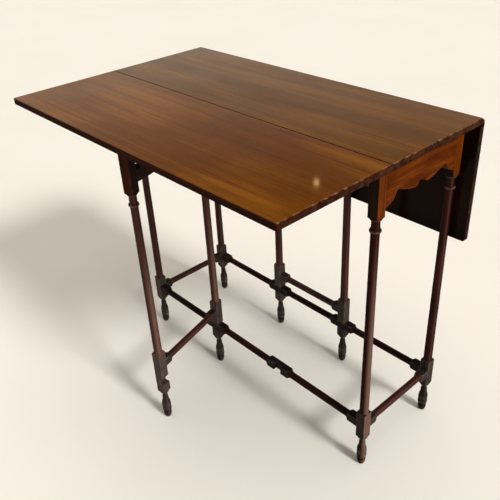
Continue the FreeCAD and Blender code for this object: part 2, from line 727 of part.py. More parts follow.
def leaf(name, side, width):
    """A leaf with the rule joint's cove along its inner edge and its other edges rounded."""
    body = at_pin(name, side, hanging=True)
    cove = "(rule_radius + rule_clearance)"
    top = "(top_thickness - pin_height)"
    sketch = new_sketch(body, "YZ")
    outline(sketch, [
        ("seam_gap", top),
        ("seam_gap", f"sqrt({cove}^2 - seam_gap^2)"),
        (cove, "0", (cove, -1)),
        (cove, "-pin_height"),
        (width, "-pin_height"),
        (width, top),
    ])
    pad(body, sketch, "top_length", both_ways=True)
    outer, upper, lower = value(width), value(top), value("-pin_height")
    seam, lip = value("seam_gap"), value(cove)
    round_edges(body, "leaf_corner", lambda box: near(box.YMin, outer) and box.XLength < TINY
                and box.ZLength > TINY)
    round_edges(body, "upper_edge", lambda box: near(box.ZMin, upper) and not near(box.YMax, seam))
    round_edges(body, "lower_edge", lambda box: near(box.ZMax, lower) and not near(box.YMax, lip))

    recess = new_sketch(body, "XY", "-pin_height")
    for hinge in HINGES:
        rectangle(recess, *hinge_span(hinge, "hinge_width / 2 + joint_clearance"),
                  "0", "leaf_flap_length + joint_clearance")
    pocket(body, recess, "flap_thickness", along_normal=True)
    drill(body, "-pin_height", screw_places(1, "leaf_screw_near", "leaf_screw_far"),
          "hinge_screw_radius", "hinge_screw_length + joint_clearance")


def hinge_flaps(name, side, way, length, near_row, far_row):
    """The three flaps on one side of a seam, each with its own knuckles: on the fixed top (way
    -1) the two outer ones, on the leaf (way 1) the middle one."""
    body = at_pin(name, side, hanging=way > 0)
    inner = "(pin_height - flap_thickness)"
    sketch = new_sketch(body, "YZ")
    outline(sketch, [
        (f"{way} * {length}", "-pin_height"),
        (f"{way} * {length}", f"-{inner}"),
        (f"{way} * sqrt(pin_height^2 - {inner}^2)", f"-{inner}"),
        ("0", "pin_height", ("pin_height", way)),
        (f"{-way} * pin_height", "0", ("pin_height", way)),
        ("0", "-pin_height", ("pin_height", way)),
    ])
    circle(sketch, "0", "0", "hinge_pin_radius + running_clearance")
    pad(body, sketch, "2 * hinge_pitch + hinge_width", both_ways=True)

    between = new_sketch(body, "XY")
    for left, right in zip(HINGES, HINGES[1:]):
        rectangle(between, hinge_span(left, "hinge_width / 2")[1], hinge_span(right, "hinge_width / 2")[0],
                  f"-{length} - {OVERCUT}", f"{length} + {OVERCUT}")
    pocket(body, between, "4 * pin_height", both_ways=True)

    others = new_sketch(body, "XY")
    past, setback = sorted((f"{-way} * (pin_height + {OVERCUT})", f"{way} * flap_setback"), key=value)
    for hinge in HINGES:
        if way < 0:
            rectangle(others, *hinge_span(hinge, f"{HALF_KNUCKLE} + knuckle_gap / 2"), past, setback)
            continue
        inner_ends = hinge_span(hinge, f"{HALF_KNUCKLE} - knuckle_gap / 2")
        outer_ends = hinge_span(hinge, f"hinge_width / 2 + {OVERCUT}")
        rectangle(others, outer_ends[0], inner_ends[0], past, setback)
        rectangle(others, inner_ends[1], outer_ends[1], past, setback)
    pocket(body, others, "4 * pin_height", both_ways=True)
    places = screw_places(way, near_row, far_row)
    drill(body, "-pin_height", places, "hinge_screw_radius", "flap_thickness")
    countersink(body, "-pin_height", places, "hinge_screw_head", "hinge_screw_radius", "flap_thickness")


def hinge_pins(name, side):
    """The three pins of a leaf's hinges."""
    body = at_pin(name, side)
    sketch = new_sketch(body, "YZ")
    circle(sketch, "0", "0", "hinge_pin_radius")
    pad(body, sketch, "2 * hinge_pitch + hinge_width", both_ways=True)
    between = new_sketch(body, "XY")
    for left, right in zip(HINGES, HINGES[1:]):
        rectangle(between, hinge_span(left, "hinge_width / 2")[1], hinge_span(right, "hinge_width / 2")[0],
                  "-pin_height", "pin_height")
    pocket(body, between, "4 * pin_height", both_ways=True)


def hinge_screws(name, side, way, near_row, far_row):
    """The nine screws through one side's flaps."""
    body = at_pin(name, side, hanging=way > 0)
    screws(body, "-pin_height", screw_places(way, near_row, far_row), "hinge_screw_radius",
           "hinge_screw_head", "flap_thickness", "hinge_screw_length")


def hinges(word, side):
    """All the ironmongery of one leaf's rule joint."""
    hinge_flaps(f"hinge_flaps_top_{word}", side, -1, "top_flap_length", "top_screw_near", "top_screw_far")
    hinge_flaps(f"hinge_flaps_leaf_{word}", side, 1, "leaf_flap_length", "leaf_screw_near",
                "leaf_screw_far")
    hinge_pins(f"hinge_pins_{word}", side)
    hinge_screws(f"hinge_screws_top_{word}", side, -1, "top_screw_near", "top_screw_far")
    hinge_screws(f"hinge_screws_leaf_{word}", side, 1, "leaf_screw_near", "leaf_screw_far")


def top_screws():
    """The screws up through the corner blocks."""
    body = new_body("top_screws", "0", FRAME_Y, f"{UNDERSIDE} - corner_block_height")
    screws(body, "0", top_screw_places(), "top_screw_radius", "top_screw_head",
           "top_screw_head_height", "top_screw_length")


# ---------------------------------------------------------------- gates

def on_gate(name, side, reach):
    """A body standing on the floor at that distance from a gate's pivot, with +X pointing from
    the pivot to the swing leg: the front gate is open, the back one closed."""
    angle = "-gate_open" if side == FRONT else "180"
    x = f"{side} * pivot_offset + {reach} * cos({angle})"
    y = f"{side} * {LEGS_Y} + {FRAME_Y} + {reach} * sin({angle})"
    if side == FRONT:
        return new_body(name, x, y, axis=-UP, angle="gate_open")
    return new_body(name, x, y, angle="180")


def gate_mortises(body, facing):
    """The mortises for the fly rail and the gate stretcher, in a stile or leg of the gate."""
    top = f"({UNDERSIDE} - fly_rail_drop - fly_rail_height / 2 + fly_tenon_height / 2)"
    mortise(body, "YZ", facing, f"{top} - fly_tenon_height", top, STRETCHER_TENON)
    stretcher_mortise(body, "YZ", facing, "gate_stretcher_height")


def pivot_stile(name, side):
    """The stile that a gate turns on, with a pin in one piece with it at each end."""
    body = on_gate(name, side, "0")
    low = "(stretcher_height + stretcher_block / 2 + gate_end_gap)"
    high = f"({UNDERSIDE} - pivot_block_height - gate_end_gap)"
    square_post(body, low, high)
    turn_shaft(body, "stile_block_top", f"{high} - stile_upper_block", "shoulder_rise")
    for height, downwards in ((low, True), (high, False)):
        pin = new_sketch(body, "XY", height)
        circle(pin, "0", "0", "pivot_pin_radius")
        pad(body, pin, "pivot_pin_length", backwards=downwards)
    gate_mortises(body, 1)


def swing_leg(name, side):
    """The leg at a gate's free end, notched so that it halves over the long stretcher."""
    body = on_gate(name, side, "gate_length")
    high = f"({UNDERSIDE} - leaf_rest_gap)"
    square_post(body, "swing_foot_gap", high)
    turn_shaft(body, "swing_block_top", f"{high} - swing_upper_block", "swing_shoulder_rise")
    turn_foot(body, "swing_foot_gap")
    gate_mortises(body, -1)
    halving = new_sketch(body, "YZ")
    half = "(stretcher_block / 2 + notch_end_gap)"
    rectangle(halving, "-halving_gap", "leg_block", f"stretcher_height - {half}",
              f"stretcher_height + {half}")
    pocket(body, halving, "leg_block * 2", both_ways=True)


def fly_rail(name, side):
    """The rail between the stile and the swing leg that stiffens the gate near its top."""
    body = on_gate(name, side, "gate_length / 2")
    top = f"({UNDERSIDE} - fly_rail_drop)"
    sketch = new_sketch(body, "YZ")
    rectangle(sketch, "-fly_rail_thickness / 2", "fly_rail_thickness / 2",
              f"{top} - fly_rail_height", top)
    pad(body, sketch, GATE_SPAN, both_ways=True)
    middle = f"({top} - fly_rail_height / 2)"
    through_tenon(body, f"{GATE_SPAN} + 2 * {STRETCHER_TENON}", f"{middle} - fly_tenon_height / 2",
                  f"{middle} + fly_tenon_height / 2")


def gate_stretcher(name, side):
    """The turned stretcher near a gate's foot."""
    angle = "-gate_open" if side == FRONT else "180"
    stretcher(name, GATE_SPAN, end_blocks(GATE_SPAN, "short_end_block"),
              f"{side} * pivot_offset + gate_length / 2 * cos({angle})",
              f"{side} * {LEGS_Y} + {FRAME_Y} + gate_length / 2 * sin({angle})",
              "gate_stretcher_height", angle)


# ---------------------------------------------------------------- the table

fill_sheet()
fixed_top()
for side_x, x_word in ((-1, "left"), (1, "right")):
    for side_y, y_word in ((FRONT, "front"), (BACK, "back")):
        fixed_leg(f"leg_{y_word}_{x_word}", side_x, side_y)
    end_rail(f"end_rail_{x_word}", side_x)
    stretcher(f"end_stretcher_{x_word}", SHORT_SPAN, end_blocks(SHORT_SPAN, "short_end_block"),
              f"{side_x} * {LEGS_X}", FRAME_Y, "stretcher_height", "90")
corner_blocks()
top_screws()
for side, word, width in ((FRONT, "front", "front_leaf_width"), (BACK, "back", "back_leaf_width")):
    side_rail(f"side_rail_{word}", side)
    pivot_block(f"pivot_block_{word}", side)
    long_stretcher(f"long_stretcher_{word}", side)
    pivot_foot(f"pivot_foot_{word}", side)
    leaf(f"{word}_leaf", side, width)
    hinges(word, side)
    pivot_stile(f"pivot_stile_{word}", side)
    swing_leg(f"swing_leg_{word}", side)
    fly_rail(f"fly_rail_{word}", side)
    gate_stretcher(f"gate_stretcher_{word}", side)

doc.recompute()
for thing in doc.Objects:
    if "Invalid" in thing.State or "Error" in thing.State:
        raise ValueError(f"{thing.Label} did not compute: {thing.State}")
for piece in pieces:
    if piece.Shape.isNull() or not piece.Shape.isValid():
        raise ValueError(f"{piece.Label} has no valid shape")

os.makedirs("parts", exist_ok=True)
for piece in pieces:
    piece.Shape.exportStep(f"parts/{piece.Label}.step")
    print(f"{piece.Label}: {len(piece.Shape.Solids)} solids, {piece.Shape.Volume / 1000:.1f} cm3")
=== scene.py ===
"""A small mahogany gateleg table on slender turned legs, dressed and lit for a studio view.

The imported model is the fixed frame.  Its boards, ironmongery and plain rails are kept and given
their finishes; everything that a turner or a carver shaped is worked out again here as a surface
of two parameters, so that the squares get the softened corners of two centuries' dusting.
Lengths are metres, apart from the fields that end in _mm and the drawn sizes of PostProfile.
"""

import json
import logging
import math
from dataclasses import dataclass
from enum import Enum
from typing import Any, Sequence

import bmesh
import bpy
import numpy as np
from bpy.types import ID, Light, Material, NodeSocket, NodeTree, Object
from mathutils import Matrix, Vector


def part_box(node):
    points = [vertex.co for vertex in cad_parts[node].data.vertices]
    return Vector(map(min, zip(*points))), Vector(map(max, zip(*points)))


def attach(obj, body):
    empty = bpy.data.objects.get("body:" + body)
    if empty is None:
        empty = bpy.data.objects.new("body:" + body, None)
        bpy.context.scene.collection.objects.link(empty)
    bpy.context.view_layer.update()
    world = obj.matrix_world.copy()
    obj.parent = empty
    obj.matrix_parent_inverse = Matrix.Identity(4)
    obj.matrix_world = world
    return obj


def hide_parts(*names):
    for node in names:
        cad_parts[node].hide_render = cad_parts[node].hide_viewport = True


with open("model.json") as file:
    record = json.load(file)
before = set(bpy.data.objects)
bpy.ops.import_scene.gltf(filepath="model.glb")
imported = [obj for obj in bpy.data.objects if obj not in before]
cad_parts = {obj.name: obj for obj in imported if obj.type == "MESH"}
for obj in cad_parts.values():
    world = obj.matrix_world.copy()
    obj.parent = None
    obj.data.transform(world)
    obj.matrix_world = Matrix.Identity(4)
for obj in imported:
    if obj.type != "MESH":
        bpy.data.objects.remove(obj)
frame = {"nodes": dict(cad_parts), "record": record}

LOG = logging.getLogger("gateleg_table")
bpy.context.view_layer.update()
MM = 0.001
RIGHT = Vector((1.0, 0.0, 0.0))
UP = Vector((0.0, 0.0, 1.0))
WELD = 2e-6
SLIVER = 1e-7
SHARP = math.radians(40)

Corner = tuple[float, ...]
Limits = tuple[float, float]


class Axis(Enum):
    """A direction of the model, by the place of its letter in a coordinate."""

    X = 0
    Y = 1
    Z = 2


class Facing(Enum):
    """Which way a board's show side looks when the table stands as it does at rest."""

    UP = (0.0, 0.0, 1.0)
    OUT_BEHIND = (0.0, 1.0, 0.0)


# --- small tools


def linear(code: str) -> tuple[float, float, float, float]:
    """Turn an sRGB hex colour into the linear colour that a shader socket takes.

    Args:
        code: Six hex digits after a hash sign.

    Returns:
        Red, green, blue and an alpha of one.
    """
    parts = np.array([int(code[k : k + 2], 16) for k in (1, 3, 5)]) / 255.0
    light = np.where(parts <= 0.04045, parts / 12.92, ((parts + 0.055) / 1.055) ** 2.4)
    return (*map(float, light), 1.0)


def add_node(tree: NodeTree, kind: str, inputs: dict[Any, Any] | None = None, **settings: Any) -> Any:
    """Add one shader node with its settings, and fill or link its sockets.

    Args:
        tree: The node tree.
        kind: Its type, after "ShaderNode".
        inputs: Socket name or number, to the socket that feeds it or to its constant.
        **settings: Its own properties.

    Returns:
        Its outputs.
    """
    node = tree.nodes.new("ShaderNode" + kind)
    for name, setting in settings.items():
        setattr(node, name, setting)
    for name, feed in (inputs or {}).items():
        if isinstance(feed, NodeSocket):
            tree.links.new(feed, node.inputs[name])
        else:
            node.inputs[name].default_value = feed
    return node.outputs


def where(tree: NodeTree, *limits: tuple[Any, float, float]) -> NodeSocket:
    """Find where several things hold at once: each is eased from 0 to 1, and all are multiplied.

    Args:
        tree: The material's tree.
        *limits: A value, where its share starts and where it is full.

    Returns:
        The share of the surface, from 0 to 1.
    """
    share: Any = 1.0
    for value, start, end in limits:
        step = add_node(tree, "MapRange", {"Value": value, "From Min": start, "From Max": end},
                        interpolation_type="SMOOTHSTEP")[0]
        share = add_node(tree, "Math", {0: share, 1: step}, operation="MULTIPLY")[0]
    return share


def lay(tree: NodeTree, ground: Any, coats: Sequence[tuple[Any, Any]]) -> Any:
    """Lay coats of colour over a ground.

    Args:
        tree: The material's tree.
        ground: The colour below them all.
        coats: How much of the surface each covers, and its colour, in order.

    Returns:
        The colour that shows.
    """
    for share, tone in coats:
        ground = add_node(tree, "Mix", {0: share, 6: ground, 7: tone}, data_type="RGBA")[2]
    return ground


def nearest(tree: NodeTree, parts: Any, planes: Sequence[tuple[Axis, float]]) -> Any:
    """Find the distance to the nearest of some planes.

    Args:
        tree: The material's tree.
        parts: The point's three coordinates.
        planes: The axis that each plane crosses, and where.

    Returns:
        The distance, or a large number where there are no planes.
    """
    found: Any = 1.0
    for axis, plane in planes:
        off = add_node(tree, "Math", {0: parts[axis.value], 1: plane}, operation="SUBTRACT")[0]
        size = add_node(tree, "Math", {0: off}, operation="ABSOLUTE")[0]
        found = add_node(tree, "Math", {0: size, 1: found}, operation="MINIMUM")[0]
    return found


def profile(corners: Sequence[Corner], steps: int = 7) -> np.ndarray:
    """Work out a drawn profile as points.

    A third number makes the stretch that ends at a corner an arc: its rise over half its chord,
    to the right of the way travelled when positive.  With h the arc's half angle and s from -1
    to 1, its point is the chord's middle, plus half the chord times sin(hs)/sin(h), plus the
    rise times (cos(hs) - cos(h))/(1 - cos(h)) to the right.

    Args:
        corners: The corners in order, as (across, along).
        steps: How many stretches an arc is cut into.

    Returns:
        An array of points, one row each.
    """
    rows = [np.array([corners[0][:2]], float)]
    for before, corner in zip(corners, corners[1:]):
        start, end = np.array(before[:2], float), np.array(corner[:2], float)
        if len(corner) == 2:
            rows.append(end[None, :])
            continue
        half = 2.0 * math.atan(abs(corner[2]))
        s = np.linspace(-1.0, 1.0, steps + 1)[1:, None]
        chord = end - start
        right = np.array([chord[1], -chord[0]]) * 0.5 * corner[2]
        along = np.sin(half * s) / math.sin(half)
        rise = (np.cos(half * s) - math.cos(half)) / (1.0 - math.cos(half))
        rows.append((start + end) / 2 + chord / 2 * along + right * rise)
    return np.concatenate(rows)


def rounded_rectangle(width: float, height: float, corner: float, flats: int = 8,
                      turns: int = 4) -> np.ndarray:
    """Points anticlockwise round a rectangle with rounded corners, from its right side on.

    A side is a straight row of points and a corner a quarter circle; the far half is the near
    one turned.

    Args:
        width: Size along the first direction.
        height: Size along the second.
        corner: Radius of the corners.
        flats: Points on each straight side.
        turns: Steps on each corner.

    Returns:
        An array of points, one row each.
    """
    a, b = width / 2, height / 2
    angle = np.linspace(0.0, math.pi / 2, turns + 1)[1:-1]
    quarter = np.stack([np.cos(angle), np.sin(angle)], axis=1) * corner
    right = np.stack([np.full(flats, a), np.linspace(corner - b, b - corner, flats)], axis=1)
    top = np.stack([np.linspace(a - corner, corner - a, flats), np.full(flats, b)], axis=1)
    first = quarter + (a - corner, b - corner)
    second = np.stack([-quarter[:, 1], quarter[:, 0]], axis=1) + (corner - a, b - corner)
    half = np.concatenate([right, first, top, second])
    return np.concatenate([half, -half])


def soft_minimum(first: np.ndarray, second: np.ndarray, blend: float) -> np.ndarray:
    """The smaller of two lengths, rounded where they cross.

    It is the plain minimum, less a quarter of the blend times the square of how far inside the
    blend the two are.

    Args:
        first: One length at each point.
        second: The other.
        blend: The difference at which the rounding starts.

    Returns:
        The rounded minimum.
    """
    inside = np.clip(blend - np.abs(first - second), 0.0, None) / blend
    return np.minimum(first, second) - inside * inside * blend / 4


def stand_in(how: str, node: str, grid: np.ndarray,
             attributes: dict[str, np.ndarray], material: Material) -> Object:
    """Make a closed piece from rings of points, and let it hide a node and ride on its body.

    Args:
        how: How it was made, the first word of its name.
        node: The node.
        grid: Rings by points by three, in metres, anticlockwise seen from the last ring's end.
        attributes: What the finish reads at each point: "timber", its place in the tree with the
            grain last; "wear", how much it is rubbed; "square", 1 where the lathe never reached;
            "axis", the way the piece runs.
        material: Its finish.

    Returns:
        The piece, with a flat cap at each end.
    """
    rings, around = grid.shape[:2]
    points = np.concatenate([grid.reshape(-1, 3), [grid[0].mean(0), grid[-1].mean(0)]])
    i = np.arange(rings - 1)[:, None] * around
    j = np.arange(around)[None, :]
    k = (j + 1) % around
    quads = np.stack([i + j, i + k, i + around + k, i + around + j], axis=-1).reshape(-1, 4)
    last = (rings - 1) * around
    count = rings * around
    first_cap = np.stack([k[0], j[0], np.full(around, count)], axis=1)
    last_cap = np.stack([last + j[0], last + k[0], np.full(around, count + 1)], axis=1)
    mesh = bpy.data.meshes.new(f"{how}_{node}")
    mesh.from_pydata(points.tolist(), [], quads.tolist() + first_cap.tolist() + last_cap.tolist())
    for title, values in attributes.items():
        ends = [values[end].reshape(around, -1).mean(0) for end in (0, -1)]
        rows = np.concatenate([values.reshape(count, -1), ends])
        kind, key = ("FLOAT_VECTOR", "vector") if rows.shape[1] == 3 else ("FLOAT", "value")
        data = mesh.attributes.new(title, kind, "POINT").data
        data.foreach_set(key, rows.astype(np.float32).ravel())
    work = bmesh.new()
    work.from_mesh(mesh)
    bmesh.ops.remove_doubles(work, verts=work.verts, dist=WELD)
    bmesh.ops.dissolve_degenerate(work, dist=SLIVER, edges=work.edges)
    work.to_mesh(mesh)
    work.free()
    mesh.shade_smooth()
    mesh.set_sharp_from_angle(angle=SHARP)
    mesh.materials.append(material)
    piece = add_object(mesh.name, mesh)
    bodies = frame["record"]["behaviour"]["bodies"]
    body = next(body for body, names in bodies.items() if node in names)
    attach(piece, body)
    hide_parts(node)
    LOG.info("%s: %d faces, rides on %s", piece.name, len(mesh.polygons), body)
    return piece


def split(piece: Object, height: float, material: Material) -> None:
    """Give the faces above a height a finish of their own.

    Args:
        piece: The piece.
        height: The height.
        material: The finish.
    """
    mesh = piece.data
    mesh.materials.append(material)
    centres = np.empty(3 * len(mesh.polygons), np.float32)
    mesh.polygons.foreach_get("center", centres)
    mesh.polygons.foreach_set("material_index", (centres[2::3] > height).astype(np.int32))
    mesh.update()


def dress(nodes: Sequence[str], material: Material) -> None:
    """Give kept nodes their finish, in every slot they have.

    Args:
        nodes: The nodes' names.
        material: The finish.
    """
    for node in nodes:
        slots = frame["nodes"][node].data.materials
        slots.clear()
        slots.append(material)
        LOG.info("%s: dressed in %s", node, material.name)


def add_object(name: str, data: ID) -> Object:
    """Put a new object into the scene.

    Args:
        name: Its name.
        data: Its mesh, light or camera.

    Returns:
        The object.
    """
    thing = bpy.data.objects.new(name, data)
    bpy.context.scene.collection.objects.link(thing)
    return thing


def middle(node: str) -> Vector:
    """The middle of a node's box at rest."""
    low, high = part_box(node)
    return (low + high) / 2


# --- finishes


@dataclass(frozen=True)
class Pattern:
    """A solid noise drawn out with the grain, by the size of its cells."""

    along_mm: float
    across_mm: float
    detail: float = 3.0  # octaves
    distortion: float = 0.0  # how far it is stirred

    def scale(self, along: Axis) -> tuple[float, ...]:
        """What a coordinate in metres is multiplied by so that a cell is one unit."""
        return tuple(1000.0 / (self.along_mm if axis is along else self.across_mm) for axis in Axis)


@dataclass(frozen=True)
class Tones:
    """The colours of one wood surface, as sRGB."""

    ground: str
    light: str  # the paler bands of its figure
    cloud: str  # the deeper colour of its broad patches
    dark: str  # its late-wood streaks
    pore: str  # its open vessels, filled with polish and dirt


@dataclass(frozen=True)
class Timber:
    """Plain-sawn Cuban mahogany: straight, close grain with long ribbons and short dark vessels.

    The eye gets soft bands a finger wide, streaks a few millimetres wide that run on for a hand's
    length, and fine dashes.  Vessels are really 0.2 mm wide; they are drawn about a millimetre
    wide, which is the finest that shows at the size the table is seen.
    """

    figure: Pattern = Pattern(620.0, 30.0, 3.0, 0.9)
    streak: Pattern = Pattern(240.0, 4.6, 3.0, 0.3)
    pore: Pattern = Pattern(18.0, 1.1, 2.0)
    cloud: Pattern = Pattern(330.0, 120.0, 2.0, 0.4)
    streak_strength: float = 0.5
    pore_strength: float = 0.42

    def shares(self, tree: NodeTree, place: NodeSocket, along: Axis) -> dict[str, NodeSocket]:
        """Work out how much of each figure shows at a point.

        Args:
            tree: The material's tree.
            place: The coordinates of the wood, in metres.
            along: The way the grain runs in them.

        Returns:
            A share by name, from 0 to the figure's own strength.
        """
        ranges = {"figure": (0.36, 0.66, 1.0), "cloud": (0.36, 0.68, 0.75),
                  "streak": (0.48, 0.74, self.streak_strength),
                  "pore": (0.56, 0.72, self.pore_strength)}
        found = {}
        for name, (low, high, top) in ranges.items():
            pattern = getattr(self, name)
            spot = add_node(tree, "Mapping", {"Vector": place, "Scale": pattern.scale(along)})[0]
            noise = add_node(tree, "TexNoise", {
                "Vector": spot, "Scale": 1.0, "Detail": pattern.detail,
                "Distortion": pattern.distortion})[0]
            found[name] = add_node(tree, "MapRange", {
                "Value": noise, "From Min": low, "From Max": high, "To Max": top},
                interpolation_type="SMOOTHSTEP")[0]
        return found

    def paint(self, tree: NodeTree, shares: dict[str, NodeSocket], tones: Tones) -> NodeSocket:
        """Lay a surface's colours over each other: figure, cloud, streaks and vessels.

        Args:
            tree: The material's tree.
            shares: How much of each figure shows.
            tones: The surface's colours.

        Returns:
            The colour that shows.
        """
        coats = (("figure", tones.light), ("cloud", tones.cloud), ("streak", tones.dark),
                 ("pore", tones.pore))
        return lay(tree, linear(tones.ground), [(shares[name], linear(tone)) for name, tone in coats])


class Finish:
    """A surface as its maker left it.  A kind of finish says what its shader takes."""

    name: str

    def mix(self, tree: NodeTree) -> dict[str, Any]:
        """Work out in the tree what each socket of the shader takes."""
        raise NotImplementedError

    def material(self) -> Material:
        """Make the node material of this finish.

        Returns:
            The new material.
        """
        material = bpy.data.materials.new(self.name)
        material.use_nodes = True
        tree = material.node_tree
        tree.nodes.clear()
        shader = add_node(tree, "BsdfPrincipled", self.mix(tree))[0]
        add_node(tree, "OutputMaterial", {"Surface": shader})
        return material


@dataclass(frozen=True)
class PolishedBoard(Finish):
    """A solid mahogany board, planed, French polished and waxed for two centuries.

    The eye gets warm brown under a clear, slightly soft gloss that mirrors pale things at a low
    angle, smeared by old wax; the moulded edges are nearly black with old polish, and nicked down
    to paler wood on their arrises; a dark line of dirt lies along the seam; and the underside was
    only planed, and is a nearly black brown.
    """

    name: str
    facing: Facing  # the way its show side looks
    ends: tuple[tuple[Axis, float], ...]  # the planes of its rubbed edges
    seams: tuple[tuple[Axis, float], ...]  # the planes of the joint that gathers dirt
    show: Tones
    shift: tuple[float, float, float]  # where its wood comes from in the tree
    edge: Tones
    under: Tones = Tones("#170c09", "#20110c", "#140a08", "#0f0706", "#0a0504")
    worn: str = "#7c5a42"  # bare wood in the nicks
    gap: str = "#160a05"  # dirt in the seam
    nick_mm: float = 11.111
    smear_mm: float = 83.333
    bare_coat: float = 0.06
    waxed_coat: Limits = (0.45, 0.8)  # where old wax lies thick and where it is thin
    roughness: Limits = (0.7, 0.45)  # off the show side and on it
    # Where each share starts and is full: off an edge or a seam, by the lean, and in the noise.
    worn_mm: Limits = (3.4, 0.8)
    seam_mm: Limits = (1.9, 0.6)
    show_lean: Limits = (0.6, 0.97)
    under_lean: Limits = (-0.5, -0.9)
    arris_lean: Limits = (-0.12, 0.4)
    nicked: Limits = (0.44, 0.64)
    timber: Timber = Timber()

    def mix(self, tree: NodeTree) -> dict[str, Any]:
        """Mix the finish; a face is told by how far its normal leans the show side's way.

        Args:
            tree: The material's tree.

        Returns:
            What the shader takes.
        """
        place = add_node(tree, "TexCoord")
        wood = add_node(tree, "Mapping", {"Vector": place["Object"], "Location": self.shift})[0]
        lean = add_node(tree, "VectorMath", {0: place["Normal"], 1: self.facing.value},
                        operation="DOT_PRODUCT")["Value"]
        parts = add_node(tree, "SeparateXYZ", {0: place["Object"]})
        nicks, smear = (add_node(tree, "TexNoise", {
            "Vector": place["Object"], "Scale": 1000.0 / size, "Detail": 5.0,
            "Roughness": 0.7})[0] for size in (self.nick_mm, self.smear_mm))
        shares = self.timber.shares(tree, wood, Axis.X)
        off_end, off_seam = (nearest(tree, parts, planes) for planes in (self.ends, self.seams))
        on_show = (lean, *self.show_lean)
        rim, worn = (edge * MM for edge in self.worn_mm)
        far, near = (edge * MM for edge in self.seam_mm)
        dirt = where(tree, (off_seam, far, near), on_show)
        rubbed = where(tree, (off_end, rim, worn), (lean, *self.arris_lean), (nicks, *self.nicked))
        polished = where(tree, on_show, (off_seam, near, far))
        show, edge, under = (self.timber.paint(tree, shares, tones)
                             for tones in (self.show, self.edge, self.under))
        colour = lay(tree, edge, (
            (where(tree, (lean, *self.under_lean)), under), (where(tree, on_show), show),
            (dirt, linear(self.gap)), (rubbed, linear(self.worn))))
        thick, thin = self.waxed_coat
        wax = add_node(tree, "MapRange", {"Value": smear, "To Min": thick, "To Max": thin})[0]
        gloss, rough = (add_node(tree, "MapRange", {
            "Value": polished, "To Min": bare, "To Max": full})[0]
            for bare, full in ((self.bare_coat, wax), self.roughness))
        bump = add_node(tree, "Bump", {
            "Height": shares["pore"], "Strength": 0.12, "Distance": 0.0004})[0]
        return {"Base Color": colour, "Roughness": rough, "Normal": bump, "IOR": 1.5,
                "Specular IOR Level": 0.0, "Coat Weight": gloss, "Coat Roughness": 0.06,
                "Coat IOR": 1.5}


